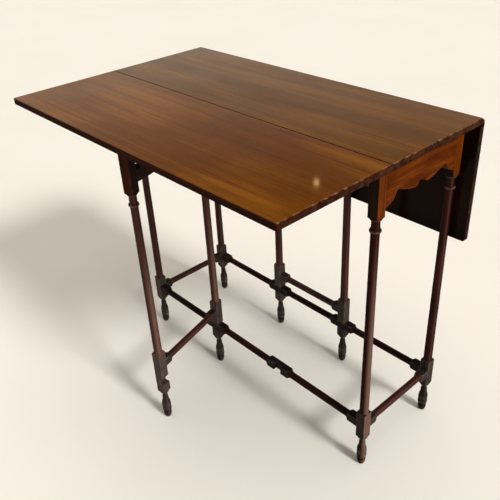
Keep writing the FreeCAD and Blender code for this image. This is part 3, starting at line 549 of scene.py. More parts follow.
@dataclass(frozen=True)
class TurnedMahogany(Finish):
    """Mahogany turned on a lathe from square stock, stained dark and waxed.

    The eye gets a red that is nearly black on the rounds, with a line of light down each shaft,
    because the lathe's fine rings spread a reflection along it; low squares gone greyer with
    waxed-in dust, and feet nearly black, with painted shade in the groove over the pad; high up,
    painted light on the squares' faces toward the light, warmer, and painted shade on their other
    faces, darker; and paler rubbed lines on the corners of the low squares and the crests of the
    rings.  A post that stands out in the room is brown low down on the sides that look along the
    table: dust, and painted light for the lit side and the floor's reflection.
    """

    name: str
    tones: Tones = Tones("#34120b", "#481c12", "#2a0e09", "#1c0906", "#120504")
    square: Tones = Tones("#302725", "#463b37", "#271f1d", "#181110", "#0e0806")
    # Painted shade: the darker colour of the upper squares; the feet take it too.
    shaded: Tones = Tones("#221713", "#2d1f1a", "#1b110e", "#120a08", "#0b0504")
    # Painted light: the warmer colour of the upper squares' faces toward the light.
    high: Tones = Tones("#5a2906", "#743b0c", "#491c03", "#3c1602", "#260c02")
    high_from_mm: float = 1000.0  # the height at which the painted light on the squares starts
    high_fade_mm: Limits = (-12.0, 6.0)
    lit_side: Axis = Axis.X  # the way along which the faces with painted light and with the dust coat look
    worn: str = "#83685b"
    # Dust and painted light: the lit side and the floor's reflection, low down.
    dust_and_light: str = "#604a43"
    dust_and_light_mm: Limits = (-1.0, -0.5)  # heights between which the dust and painted light lie, at first none
    sheen: float = 0.25
    roughness: Limits = (0.6, 0.4)  # between the worn spots and on them
    spot_mm: float = 9.0909
    # Where each share starts and is full: by the way a face looks, in the noise of the worn
    # spots, and by height, where the painted shade in the groove ends above as well.
    high_face: Limits = (0.35, 0.85)
    dust_and_light_face: Limits = (0.2, 1.3)
    spotted: Limits = (0.35, 0.7)
    foot: Limits = (0.084, 0.066)
    # Painted shade in the groove over the pad, between these heights.
    groove: tuple[Limits, Limits] = ((0.0135, 0.0165), (0.022, 0.0185))
    shade: Limits = (0.25, 0.4)
    timber: Timber = Timber(figure=Pattern(300.0, 9.0, 3.0, 0.4),
                            streak=Pattern(120.0, 2.2, 3.0, 0.2), pore=Pattern(14.0, 1.0, 2.0),
                            cloud=Pattern(90.0, 40.0, 2.0, 0.3))

    def mix(self, tree: NodeTree) -> dict[str, Any]:
        """Mix the finish from the piece's attributes, its heights and the way its faces look.

        Args:
            tree: The material's tree.

        Returns:
            What the shader takes.
        """
        wood, wear, square, axis = (add_node(tree, "Attribute", attribute_name=name)[slot]
                                    for name, slot in (("timber", "Vector"), ("wear", "Fac"),
                                                       ("square", "Fac"), ("axis", "Vector")))
        place = add_node(tree, "TexCoord")
        up = add_node(tree, "SeparateXYZ", {0: place["Object"]})[2]
        facing = add_node(tree, "SeparateXYZ", {0: place["Normal"]})[self.lit_side.value]
        facing = add_node(tree, "Math", {0: facing}, operation="ABSOLUTE")[0]
        spots = add_node(tree, "TexNoise", {
            "Vector": wood, "Scale": 1000.0 / self.spot_mm, "Detail": 3.0})[0]
        shares = self.timber.shares(tree, wood, Axis.Z)
        rounds, flats, shaded, high = (
            self.timber.paint(tree, shares, tones)
            for tones in (self.tones, self.square, self.shaded, self.high))
        start, full = ((self.high_from_mm + fade) * MM for fade in self.high_fade_mm)
        bottom, top = (height * MM for height in self.dust_and_light_mm)
        below, above = self.groove
        colour = lay(tree, rounds, (
            (square, flats),
            (where(tree, (up, *self.foot)), shaded),
            # Dust, and painted light on the sides toward the window, low down.
            (where(tree, (up, bottom - MM, bottom + MM), (up, top, (bottom + top) / 2),
                   (facing, *self.dust_and_light_face)), linear(self.dust_and_light)),
            # Painted shade in the groove under the bulb.
            (where(tree, (up, *below), (up, *above)), linear(self.tones.pore)),
            (where(tree, (wear, 0.0, 1.0), (spots, *self.spotted)), linear(self.worn)),
            # Painted shade: the upper squares darker.
            (where(tree, (square, 0.0, 1.0), (up, *self.shade)), shaded),
            # Painted light: the upper squares' faces that look along the lit side, warmer.
            (where(tree, (up, start, full), (facing, *self.high_face)), high)))
        dull, rubbed = self.roughness
        rough = add_node(tree, "MapRange", {"Value": spots, "To Min": dull, "To Max": rubbed})[0]
        bump = add_node(tree, "Bump", {
            "Height": shares["pore"], "Strength": 0.15, "Distance": 0.0003})[0]
        axis = add_node(tree, "VectorTransform", {0: axis}, vector_type="VECTOR",
                        convert_from="OBJECT", convert_to="WORLD")[0]
        return {"Base Color": colour, "Roughness": rough, "Normal": bump, "IOR": 1.5,
                "Specular IOR Level": self.sheen, "Anisotropic": 1.0, "Tangent": axis}


@dataclass(frozen=True)
class SawnWood(Finish):
    """Pine and oak carcase wood, sawn and planed but never polished, brown with age and dust.

    The eye gets a dry matt surface with broad soft bands and a fine furry grain.
    """

    name: str
    along: Axis
    tones: Tones = Tones("#33200f", "#4a301c", "#2b1a0d", "#1f1208", "#140b06")
    timber: Timber = Timber(figure=Pattern(300.0, 8.0, 3.0, 0.5), streak=Pattern(140.0, 3.0))

    def mix(self, tree: NodeTree) -> dict[str, Any]:
        """Mix the finish.

        Args:
            tree: The material's tree.

        Returns:
            What the shader takes.
        """
        place = add_node(tree, "TexCoord")["Object"]
        shares = self.timber.shares(tree, place, self.along)
        colour = self.timber.paint(tree, shares, self.tones)
        bump = add_node(tree, "Bump", {
            "Height": shares["streak"], "Strength": 0.3, "Distance": 0.0004})[0]
        return {"Base Color": colour, "Roughness": 0.78, "Normal": bump, "Specular IOR Level": 0.3}


@dataclass(frozen=True)
class ForgedIron(Finish):
    """Wrought iron flaps and screws, filed smooth when new and left to go brown.

    The eye gets a dark, barely metallic skin with rust-brown blotches and a faint file grain.
    """

    name: str
    steel: str = "#3b3733"
    rust: str = "#3a2013"
    blotch_mm: float = 7.0
    rusted: Limits = (0.42, 0.62)  # the noise at which rust starts and is full
    metallic: Limits = (0.9, 0.1)  # clean and rusted
    roughness: Limits = (0.42, 0.8)

    def mix(self, tree: NodeTree) -> dict[str, Any]:
        """Mix the finish: rough, dull rust where a blotchy noise is high.

        Args:
            tree: The material's tree.

        Returns:
            What the shader takes.
        """
        place = add_node(tree, "TexCoord")["Object"]
        blotch = add_node(tree, "TexNoise", {
            "Vector": place, "Scale": 1000.0 / self.blotch_mm, "Detail": 5.0,
            "Roughness": 0.62})[0]
        rusty = where(tree, (blotch, *self.rusted))
        metal, rough = (add_node(tree, "MapRange", {
            "Value": rusty, "To Min": clean, "To Max": rusted})[0]
            for clean, rusted in (self.metallic, self.roughness))
        bump = add_node(tree, "Bump", {"Height": blotch, "Strength": 0.25, "Distance": 0.0003})[0]
        return {"Base Color": lay(tree, linear(self.steel), [(rusty, linear(self.rust))]),
                "Metallic": metal, "Roughness": rough, "Normal": bump}


@dataclass(frozen=True)
class FloorPaint(Finish):
    """Pale matt floor paint, laid on with a roller.

    The eye gets a plain floor with the faintest clouds.  The light that it throws up at the
    table is that of a duller floor, so that the undersides stay dark.
    """

    name: str = "floor_paint_brushed"
    colour: str = "#f7f6f5"
    shade: str = "#efedea"
    bounce: str = "#b5ada0"
    cloud_mm: float = 625.0

    def mix(self, tree: NodeTree) -> dict[str, Any]:
        """Mix the paint, and the duller floor that only lights the table.

        Args:
            tree: The material's tree.

        Returns:
            What the shader takes.
        """
        place = add_node(tree, "TexCoord")["Object"]
        cloud = add_node(tree, "TexNoise", {
            "Vector": place, "Scale": 1000.0 / self.cloud_mm, "Detail": 2.0})[0]
        path = add_node(tree, "LightPath")
        seen: Any = path["Is Camera Ray"]
        for kind in ("Is Glossy Ray", "Is Transmission Ray"):
            seen = add_node(tree, "Math", {0: seen, 1: path[kind]}, operation="MAXIMUM")[0]
        paint = lay(tree, linear(self.colour), [(cloud, linear(self.shade))])
        return {"Base Color": lay(tree, linear(self.bounce), [(seen, paint)]),
                "Roughness": 0.7, "Specular IOR Level": 0.1}


# --- turned wood


@dataclass(frozen=True)
class Notch:
    """A halving cut across a square: the wood over its floor is gone between two places."""

    low_mm: float
    high_mm: float
    floor_mm: float = 0.0


@dataclass(frozen=True)
class TurnedBar:
    """A square bar turned round between the squares left for its joints.

    At each place along the bar the lathe's radius is read from its profile.  Round the bar, the
    distance out is the soft minimum of that radius and the distance to the rounded square, so
    the rounds break out of the squares as a gouge leaves them.
    """

    node: str
    profile_mm: tuple[Corner, ...]  # the lathe's radius, as corners (radius, along)
    origin: Vector  # where along is zero
    along: Vector
    across: Vector  # the way of its square's first side
    width_mm: float
    height_mm: float
    notches: tuple[Notch, ...] = ()
    corner_mm: float = 0.9  # softened corner of the square
    blend_mm: float = 0.5  # softness of the line where a round breaks out of a square
    cut_mm: float = 0.02  # half the width of a notch's steep side
    fade_mm: float = 1.5  # how far past a round the square counts as untouched
    arris_mm: float = 0.5  # how wide the line between them is rubbed
    bead_mm: Limits = (9.9, 0.8)  # radius past which a bead is rubbed, and over how much
    bead_past_mm: float = 0.45  # how far past the square's side it may stand
    rubbed: tuple[float, float, float] = (0.8, 0.5, 0.45)  # a corner, an arris and a bead
    grain: Limits = (0.0, 0.0)  # where in the tree it was sawn from

    def rings(self) -> tuple[np.ndarray, np.ndarray]:
        """The places along the bar, with a close pair at each side of a notch.

        Returns:
            The lathe's radius at each place, and the places.
        """
        points = profile(self.profile_mm)
        radius, along = points[:, 0], points[:, 1]
        for cut in (edge for notch in self.notches for edge in (notch.low_mm, notch.high_mm)):
            extra = np.array([cut - self.cut_mm, cut + self.cut_mm])
            radius = np.concatenate([radius, np.interp(extra, along, radius)])
            along = np.concatenate([along, extra])
            order = np.argsort(along, kind="stable")
            radius, along = radius[order], along[order]
        return radius, along

    def build(self, material: Material) -> Object:
        """Turn the bar, and let it stand for its node.

        Args:
            material: Its finish.

        Returns:
            The piece.
        """
        radius, along = self.rings()
        square = rounded_rectangle(self.width_mm, self.height_mm, self.corner_mm)
        reach = np.linalg.norm(square, axis=1)
        inset = radius[:, None] - reach[None, :]
        squareness = np.clip(inset / self.fade_mm, 0.0, 1.0)
        out = soft_minimum(np.broadcast_to(reach, inset.shape), radius[:, None], self.blend_mm)
        flat = square[None, :, :] * (out / reach)[:, :, None]
        for notch in self.notches:
            inside = (along > notch.low_mm) & (along < notch.high_mm)
            flat[inside, :, 1] = np.minimum(flat[inside, :, 1], notch.floor_mm)
        up = self.along.normalized()
        first = self.across.normalized()
        basis = np.array([first, up.cross(first), up])
        places = np.broadcast_to(along[:, None, None], (*inset.shape, 1))
        local = np.concatenate([flat, places], axis=2) * MM
        grid = local @ basis + np.array(self.origin)
        return stand_in("turned", self.node, grid, {
            "timber": local + np.array([*self.grain, 0.0]),
            "wear": self.wear(reach, radius, inset, squareness), "square": squareness,
            "axis": np.broadcast_to(up, grid.shape)}, material)

    def wear(self, reach: np.ndarray, radius: np.ndarray, inset: np.ndarray,
             squareness: np.ndarray) -> np.ndarray:
        """How much each point is rubbed.

        A corner of a square is rubbed by the tenth power of how far round to it a point is, an arris
        by a bell curve of how near the two radii are, and a bead by how far it stands past the shaft.

        Args:
            reach: Distance to the square, round the bar.
            radius: The lathe's radius, along the bar.
            inset: How far the radius lies past the square, rings by points.
            squareness: Where the lathe never reached, rings by points.

        Returns:
            Shares from 0 to 1, rings by points.
        """
        side = min(self.width_mm, self.height_mm) / 2
        corner = ((reach - side) / (reach.max() - side))[None, :] ** 10
        arris = np.exp(-((inset / self.arris_mm) ** 2))
        start, rise = self.bead_mm
        bead = np.clip((radius - start) / rise, 0.0, 1.0) * (radius < side + self.bead_past_mm)
        corners, arrises, beads = self.rubbed
        total = corner * squareness * corners + arris * arrises + bead[:, None] * beads
        return np.clip(total, 0.0, 1.0)


@dataclass(frozen=True)
class PostProfile:
    """The shared sizes of every turned post, in millimetres above the floor."""

    block: float = 21.0  # side of a square
    beyond: float = 15.75  # past the square's corners, where the lathe stays clear
    lip: float = 10.9  # where a turning breaks out of a square
    pad_foot: float = 6.2
    pad: tuple[Corner, ...] = ((9.0, 14.8, 0.15), (7.5, 16.8, 0.3), (7.5, 18.4), (9.7, 20.0, 0.25))
    bulb: tuple[Corner, ...] = ((10.2, 29.0, 0.1), (10.2, 36.0), (8.55, 50.0, 0.1),
                                (6.9, 64.0, -0.1), (8.8, 76.6, -0.3))
    lower_lip: float = 80.2
    lower_bottom: float = 82.0
    shoulder: Limits = (10.4, 9.3)  # radii of the shoulder and of the shaft's foot
    shaft: Limits = (8.0, 8.3)  # of the shaft's head, and beside the ring
    neck: Limits = (7.9, 9.0)  # of the neck over the ring, and of the tongue
    ring_drop: float = 25.0  # how far the ring lies under the upper square
    ring_half: float = 3.75
    ring_rise: float = 0.67  # its bulge over half its height
    upper_overlap: float = 3.0  # how far below the upper square its finish starts

    def foot(self, floor: float) -> list[Corner]:
        """The pad, bulb and neck under the lower square, from a foot that clears the floor."""
        return [(self.pad_foot, floor), *self.pad, *self.bulb, (self.lip, self.lower_lip, 0.25),
                (self.beyond, self.lower_bottom, -0.3)]

    def stem(self, low: float, high: float, rise: float) -> list[Corner]:
        """The shoulder, shaft, ring, neck and tongue between two squares, as they are drawn.

        Args:
            low: Top of the lower square.
            high: Bottom of the upper one.
            rise: Height of the turned shoulder on the lower one.

        Returns:
            Corners (radius, height).
        """
        ring = high - self.ring_drop
        under, over = ring - self.ring_half, ring + self.ring_half
        (shoulder, foot), (head, beside), (neck, tongue) = self.shoulder, self.shaft, self.neck
        return [(self.beyond, low), (shoulder, low + rise * 0.6, 0.25),
                (foot, low + rise + 1.0, -0.2), (head, under - 1.0), (beside, under, -0.3),
                (beside, over, self.ring_rise), (neck, over + 1.0, -0.3), (neck, high - 10.0),
                (tongue, high - 4.5, -0.25), (self.lip, high - 2.0, 0.3),
                (self.beyond, high, -0.3)]

    def post(self, node: str, outline: tuple[Corner, ...], across: Vector, grain: Limits,
             material: Material, notches: tuple[Notch, ...] = ()) -> Object:
        """Turn an upright post where its node stands.

        Args:
            node: The node.
            outline: The lathe's radius, as corners (radius, height).
            across: The way of its square's first side.
            grain: Where in the tree it was sawn from.
            material: Its finish.
            notches: Halvings cut in it.

        Returns:
            The post.
        """
        place = middle(node)
        return TurnedBar(node, outline, Vector((place.x, place.y, 0.0)), UP, across, self.block,
                         self.block, notches, grain=grain).build(material)


@dataclass
class CornerLegs:
    """The four fixed legs, each with a lower square for stretchers and a top one for rails."""

    shape: PostProfile = PostProfile()
    lower_top_mm: float = 148.0
    upper_length_mm: float = 99.5
    shoulder_mm: float = 3.0
    dark_tones: Tones = Tones("#2b0d08", "#3a1510", "#220a06", "#180604", "#0f0403")
    dusty_tones: Tones = Tones("#240905", "#320f0b", "#1c0704", "#140403", "#0c0302")
    dust_and_light_mm: Limits = (-10.0, 600.0)

    def build(self) -> None:
        """Turn and stain the legs: painted light and shade high up, dust and painted light low on
        one.
        """
        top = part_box("leg_front_left")[1].z / MM
        start = top - self.upper_length_mm
        plain = TurnedMahogany("mahogany_leg_turned_and_stained").material()
        # The leg in the room: dust and painted light low down.
        dust_and_light = TurnedMahogany("mahogany_leg_turned_with_dust_and_painted_light_below", tones=self.dusty_tones,
                               dust_and_light_mm=self.dust_and_light_mm, dust_and_light="#6a5048", sheen=0.06).material()
        # The upper squares' finish, with painted light on their faces toward the window.
        upper = TurnedMahogany("mahogany_leg_square_painted_light_and_dry", high_from_mm=start,
                               sheen=0.03).material()
        darker = TurnedMahogany("mahogany_leg_turned_from_a_darker_plank",
                                tones=self.dark_tones, sheen=0.12).material()
        outline = (*self.shape.foot(0.0),
                   *self.shape.stem(self.lower_top_mm, start, self.shoulder_mm),
                   (self.shape.beyond, top))
        legs = {"front_left": plain, "front_right": dust_and_light, "back_left": plain, "back_right": darker}
        for number, (name, stained) in enumerate(legs.items()):
            leg = self.shape.post(f"leg_{name}", outline, RIGHT,
                                  (0.13 * number, 0.07 * number), stained)
            split(leg, (start - self.shape.upper_overlap) * MM, upper)


@dataclass
class Stretchers:
    """The turned rails near the floor, the feet under the gates' pivots, and their squares."""

    shape: PostProfile = PostProfile()
    block_mm: float = 19.0
    beyond_mm: float = 14.335
    round_mm: float = 7.75
    cusp_mm: float = 8.0
    tip_mm: float = 3.5
    tip_radius_mm: float = 9.3
    long_end_mm: float = 24.0
    short_end_mm: float = 18.5
    joint_half_mm: float = 31.5
    halving_at_mm: float = 110.0
    notch_half_mm: float = 11.3
    tenon_mm: float = 7.0
    dark_tones: Tones = Tones("#220806", "#300f0c", "#1b0605", "#140504", "#0c0302")
    square_tones: Tones = Tones("#221b19", "#332a27", "#1c1513", "#120c0b", "#0a0505")
    dark_square: Tones = Tones("#1b1513", "#29211e", "#16100f", "#0e0908", "#070403")
    material: Material | None = None
    dark: Material | None = None

    def outline(self, blocks: Sequence[Limits]) -> tuple[Corner, ...]:
        """The lathe's radius along a stretcher.

        Args:
            blocks: Start and end of each square, in order.

        Returns:
            Corners (radius, along): out past each square, and a cusp and a round between.
        """
        corners: list[Corner] = [(self.beyond_mm, blocks[0][0])]
        for (_, start), (end, _) in zip(blocks, blocks[1:]):
            corners += [(self.beyond_mm, start), (self.tip_radius_mm, start + self.tip_mm, -0.2),
                        (self.round_mm, start + self.cusp_mm, -0.15),
                        (self.round_mm, end - self.cusp_mm),
                        (self.tip_radius_mm, end - self.tip_mm, -0.15),
                        (self.beyond_mm, end, -0.2)]
        return (*corners, (self.beyond_mm, blocks[-1][1]))

    def short(self, node: str, direction: Vector, length: float, grain: float,
              centre: Vector | None = None) -> None:
        """Turn a stretcher with a square at each end only.

        Args:
            node: The node it stands for.
            direction: The way it runs.
            length: Its length between shoulders, in millimetres.
            grain: Where its wood comes from.
            centre: Its middle, where the node's box doesn't give it.
        """
        half = length / 2
        blocks = [(-half, self.short_end_mm - half), (half - self.short_end_mm, half)]
        TurnedBar(node, self.outline(blocks), centre or middle(node), direction,
                  UP.cross(direction), self.block_mm, self.block_mm,
                  grain=(grain, grain / 2)).build(self.material)

    def long(self, side: str, sign: int) -> None:
        """Turn a stretcher under a gate, with its pivot square and its halved square.

        Args:
            side: "front" or "back".
            sign: Which way its own length runs along X.
        """
        low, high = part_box(f"long_stretcher_{side}")
        half = (high.x - low.x) / 2 / MM - self.tenon_mm
        pivot = middle(f"pivot_foot_{side}")
        origin = Vector((0.0, pivot.y, (low.z + high.z) / 2))
        joints = [(place - self.joint_half_mm, place + self.joint_half_mm)
                  for place in (pivot.x * sign / MM, self.halving_at_mm)]
        blocks = [(-half, self.long_end_mm - half), *joints, (half - self.long_end_mm, half)]
        notch = Notch(self.halving_at_mm - self.notch_half_mm,
                      self.halving_at_mm + self.notch_half_mm)
        TurnedBar(f"long_stretcher_{side}", self.outline(blocks), origin, Vector((sign, 0, 0)),
                  UP, self.block_mm, self.block_mm, (notch,),
                  grain=(0.31, 0.11 * sign)).build(self.dark)

    def build(self) -> None:
        """Turn the stretchers that stay with the frame, and a short foot under each pivot."""
        self.material = TurnedMahogany("mahogany_stretcher_turned_and_stained",
                                       square=self.square_tones).material()
        self.dark = TurnedMahogany("mahogany_long_stretcher_turned_and_stained",
                                   tones=self.dark_tones, square=self.dark_square,
                                   sheen=0.08).material()
        for side, sign in (("front", 1), ("back", -1)):
            self.long(side, sign)
            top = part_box(f"long_stretcher_{side}")[0].z / MM
            self.shape.post(f"pivot_foot_{side}", (*self.shape.foot(0.0), (self.shape.beyond, top)),
                            RIGHT, (0.51, 0.2), self.material)
        for number, side in enumerate(("left", "right")):
            low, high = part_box(f"end_stretcher_{side}")
            length = (high.y - low.y) / MM - 2 * self.tenon_mm
            self.short(f"end_stretcher_{side}", Vector((0, 1, 0)), length, 0.7 + 0.2 * number)


@dataclass
class Gate:
    """One swinging gate: a pivot stile, a swing leg, a fly rail high up and a stretcher low down."""

    side: str
    stretchers: Stretchers  # what turns its lower rail
    dust_and_light_mm: Limits = (-1.0, -0.5)  # heights between which the dust and painted light lie
    shape: PostProfile = PostProfile()
    stile_block_top_mm: float = 189.0
    stile_upper_mm: float = 39.7
    swing_block_top_mm: float = 190.0
    swing_upper_mm: float = 110.5
    shoulders_mm: Limits = (3.0, 7.0)  # on the stile and on the leg
    pin_mm: float = 12.0
    pin_radius_mm: float = 4.5
    halving: Notch = Notch(104.9, 125.1, -0.3)
    fly_mm: Limits = (27.0, 17.0)  # height and width of the fly rail
    fly_corner_mm: float = 1.2
    unturned_mm: float = 40.0  # a radius so large that the lathe never meets it
    # Dust and painted light low down on the sides that look along X.
    dust_and_light: str = "#5c3f34"
    # Painted light: the brown of the upper squares' faces that look along Y.
    high: Tones = Tones("#341509", "#45200f", "#2a1007", "#200b05", "#140603")

    def build(self) -> None:
        """Turn the gate's posts and stretcher, and plane its fly rail."""
        stile, leg = (middle(f"{name}_{self.side}") for name in ("pivot_stile", "swing_leg"))
        reach = Vector((leg.x - stile.x, leg.y - stile.y, 0.0))
        way = reach.normalized()
        upper = self.posts(way)
        span = reach.length / MM - self.shape.block
        between = (stile + leg) / 2
        fly, rail = (Vector((between.x, between.y, middle(f"{name}_{self.side}").z))
                     for name in ("fly_rail", "gate_stretcher"))
        plain = ((self.unturned_mm, -span / 2), (self.unturned_mm, span / 2))
        TurnedBar(f"fly_rail_{self.side}", plain, fly, way, UP, *self.fly_mm,
                  corner_mm=self.fly_corner_mm, grain=(1.1, 0.3)).build(upper)
        self.stretchers.short(f"gate_stretcher_{self.side}", way, span, 1.7, rail)

    def posts(self, way: Vector) -> Material:
        """Turn the stile, which ends in a pin above and below, and the leg at the free end.

        Args:
            way: The gate's direction.

        Returns:
            The finish of the square under the top.
        """
        shape, beyond, pin = self.shape, self.shape.beyond, self.pin_radius_mm
        low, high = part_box(f"pivot_stile_{self.side}")
        bottom, top = low.z / MM + self.pin_mm, high.z / MM - self.pin_mm
        stile = ((pin, bottom - self.pin_mm), (pin, bottom), (beyond, bottom),
                 *shape.stem(self.stile_block_top_mm, top - self.stile_upper_mm,
                             self.shoulders_mm[0]),
                 (beyond, top), (pin, top), (pin, top + self.pin_mm))
        low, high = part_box(f"swing_leg_{self.side}")
        start = high.z / MM - self.swing_upper_mm
        leg = (*shape.foot(low.z / MM),
               *shape.stem(self.swing_block_top_mm, start, self.shoulders_mm[1]),
               (beyond, high.z / MM))
        stained = TurnedMahogany(f"mahogany_gate_turned_and_stained_{self.side}",
                                 dust_and_light=self.dust_and_light, dust_and_light_mm=self.dust_and_light_mm).material()
        # The upper squares' finish, with painted light on their faces that look along Y.
        upper = TurnedMahogany(f"mahogany_gate_square_dry_{self.side}", high=self.high,
                               lit_side=Axis.Y, high_from_mm=start, sheen=0.03).material()
        shape.post(f"pivot_stile_{self.side}", stile, way, (1.3, 0.4), stained)
        swing = shape.post(f"swing_leg_{self.side}", leg, way, (1.5, 0.45), stained, (self.halving,))
        split(swing, (start - shape.upper_overlap) * MM, upper)
        return upper


# --- rails and boards


@dataclass
class EndRails:
    """The two shaped end rails: a bracket, a cusp and a lobe on each side of a short middle.

    At each place across the table the section is a rounded upright rectangle, from the shaped
    edge up to the top; the piece is those sections one after another.
    """

    thickness_mm: float = 18.0
    corner_mm: float = 1.3
    drawn_half_mm: float = 50.0
    bracket_mm: float = 32.0
    # Corners of the shaped edge: how far across from the cusp or the middle, and the drop.
    end_drop_mm: float = 84.5
    turn_mm: Limits = (6.4, 68.5)
    cusp_drop_mm: float = 60.5
    lobe_mm: Limits = (20.0, 75.5)
    lobe_turn_mm: Limits = (10.4, 71.0)
    middle_mm: Limits = (8.0, 66.5)
    block_half_mm: float = 10.5
    edge_wear: float = 0.35
    tones: Tones = Tones("#502103", "#6c3407", "#3f1200", "#341102", "#260c02")
    timber: Timber = Timber(figure=Pattern(160.0, 9.0, 3.0, 0.8),
                            streak=Pattern(80.0, 2.6, 3.0, 0.3), pore=Pattern(12.0, 1.0, 2.0),
                            cloud=Pattern(60.0, 30.0, 2.0, 0.3))

    def edge(self, half: float) -> np.ndarray:
        """The shaped edge from the middle to one leg.

        Args:
            half: Half the rail's length between the legs, in millimetres.

        Returns:
            Points (across, drop), from the leg inwards.
        """
        cusp = half - self.bracket_mm
        return profile([(half, self.end_drop_mm), (cusp + self.turn_mm[0], self.turn_mm[1], 0.2),
                        (cusp, self.cusp_drop_mm, -0.15), (*self.lobe_mm, 0.05),
                        (*self.lobe_turn_mm, 0.3), (*self.middle_mm, -0.15)], steps=12)

    def build(self) -> None:
        """Cut both rails and finish them in a warm, clear polish."""
        material = TurnedMahogany("mahogany_end_rail_sawn_and_polished", tones=self.tones,
                                  worn="#7a461c", sheen=0.04, timber=self.timber).material()
        front, back = middle("leg_front_left").y, middle("leg_back_left").y
        one = self.edge((back - front) / 2 / MM - self.block_half_mm)
        across = np.concatenate([-one[:, 0], one[::-1, 0]])
        drop = np.concatenate([one[:, 1], one[::-1, 1]])
        for number, side in enumerate(("left", "right")):
            low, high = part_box(f"end_rail_{side}")
            centre = Vector(((low.x + high.x) / 2, (front + back) / 2, high.z))
            self.loft(f"end_rail_{side}", across, drop, centre, material, number)

    def loft(self, node: str, across: np.ndarray, drop: np.ndarray, centre: Vector,
             material: Material, number: int) -> None:
        """Run a section along the rail, its straight sides as long as the shaped edge is deep.

        Args:
            node: The node.
            across: Places across the table.
            drop: The depth of the shaped edge at each.
            centre: The middle of the rail's top edge.
            material: Its finish.
            number: Which rail, so that their grain differs.
        """
        half, corner = self.drawn_half_mm, self.corner_mm
        section = rounded_rectangle(self.thickness_mm, 2 * half, corner, flats=6)
        flat = half - corner
        side = np.clip(section[:, 1], -flat, flat)
        share = (side / flat + 1) / 2
        straight = drop[:, None] - 2 * corner
        grid = np.zeros((len(across), len(section), 3))
        grid[:, :, 0] = -section[None, :, 0]
        grid[:, :, 1] = across[:, None]
        grid[:, :, 2] = corner - drop[:, None] + share * straight + section[:, 1] - side
        grid = grid * MM + np.array(centre)
        low_edge = (section[:, 1] < -flat).astype(float)
        wear = np.broadcast_to(low_edge * self.edge_wear, grid.shape[:2])
        stand_in("shaped", node, grid, {
            "timber": grid[:, :, [0, 2, 1]] + np.array([0.4 * number, 0.0, 0.0]),
            "wear": wear, "square": np.zeros(wear.shape),
            "axis": np.broadcast_to([0.0, 1.0, 0.0], grid.shape)}, material)


@dataclass
class Boards:
    """The fixed top and the two leaves."""

    top_tones: Tones = Tones("#633c12", "#764914", "#553108", "#492907", "#341b06")
    leaf_tones: Tones = Tones("#703f0e", "#844f12", "#5a2e07", "#4a2507", "#341806")
    back_tones: Tones = Tones("#5a3212", "#6c4119", "#4c280e", "#40200b", "#2f1607")
    edge_tones: Tones = Tones("#280c05", "#40200f", "#220a04", "#160603", "#0e0402")
    dark_tones: Tones = Tones("#180a06", "#20100a", "#140805", "#100604", "#0b0403")

    def build(self) -> None:
        """Dress the three boards, each with its own run of figure.

        All are rubbed at their two ends, and the hanging leaf along its lower edge too.  The
        level ones meet at a seam, and the hanging one's edges are darker.
        """
        seam = ((Axis.Y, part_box("front_leaf")[1].y),)
        for node, facing, tones, edge, shift, seams in (
                ("fixed_top", Facing.UP, self.top_tones, self.edge_tones, (0.0, 0.0, 0.0), seam),
                ("front_leaf", Facing.UP, self.leaf_tones, self.edge_tones, (0.37, 0.302, 0.1),
                 seam),
                ("back_leaf", Facing.OUT_BEHIND, self.back_tones, self.dark_tones,
                 (0.9, 0.4, 0.3), ())):
            low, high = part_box(node)
            ends = [(Axis.X, low.x), (Axis.X, high.x)]
            if facing is Facing.OUT_BEHIND:
                ends.append((Axis.Z, low.z))
            finish = PolishedBoard(f"mahogany_board_french_polished_{node}", facing, tuple(ends),
                                   seams, tones, shift, edge)
            dress([node], finish.material())


@dataclass
class Carcase:
    """The plain rails and blocks that hold the frame together out of sight."""

    rails: tuple[str, ...] = ("side_rail_front", "side_rail_back")
    blocks: tuple[str, ...] = ("pivot_block_front", "pivot_block_back", "corner_blocks")

    def build(self) -> None:
        """Dress the rails along their length, and the blocks along theirs."""
        dress(self.rails, SawnWood("pine_rail_planed_and_aged", Axis.X).material())
        dress(self.blocks, SawnWood("oak_block_sawn_and_aged", Axis.Z).material())


@dataclass
class Ironmongery:
    """The rule-joint hinges, their pins and every screw."""

    hinges: tuple[str, ...] = ("hinge_flaps_top", "hinge_flaps_leaf", "hinge_pins")
    screws: tuple[str, ...] = ("hinge_screws_top", "hinge_screws_leaf")

    def build(self) -> None:
        """Dress the flaps and pins in brown iron, and the screws in brighter filed iron."""
        flaps = ForgedIron("wrought_iron_hinge_filed_and_browned").material()
        screws = ForgedIron("iron_screw_hand_filed", steel="#4a4540", blotch_mm=3.0).material()
        for side in ("front", "back"):
            dress([f"{name}_{side}" for name in self.hinges], flaps)
            dress([f"{name}_{side}" for name in self.screws], screws)
        dress(["top_screws"], screws)


# --- studio


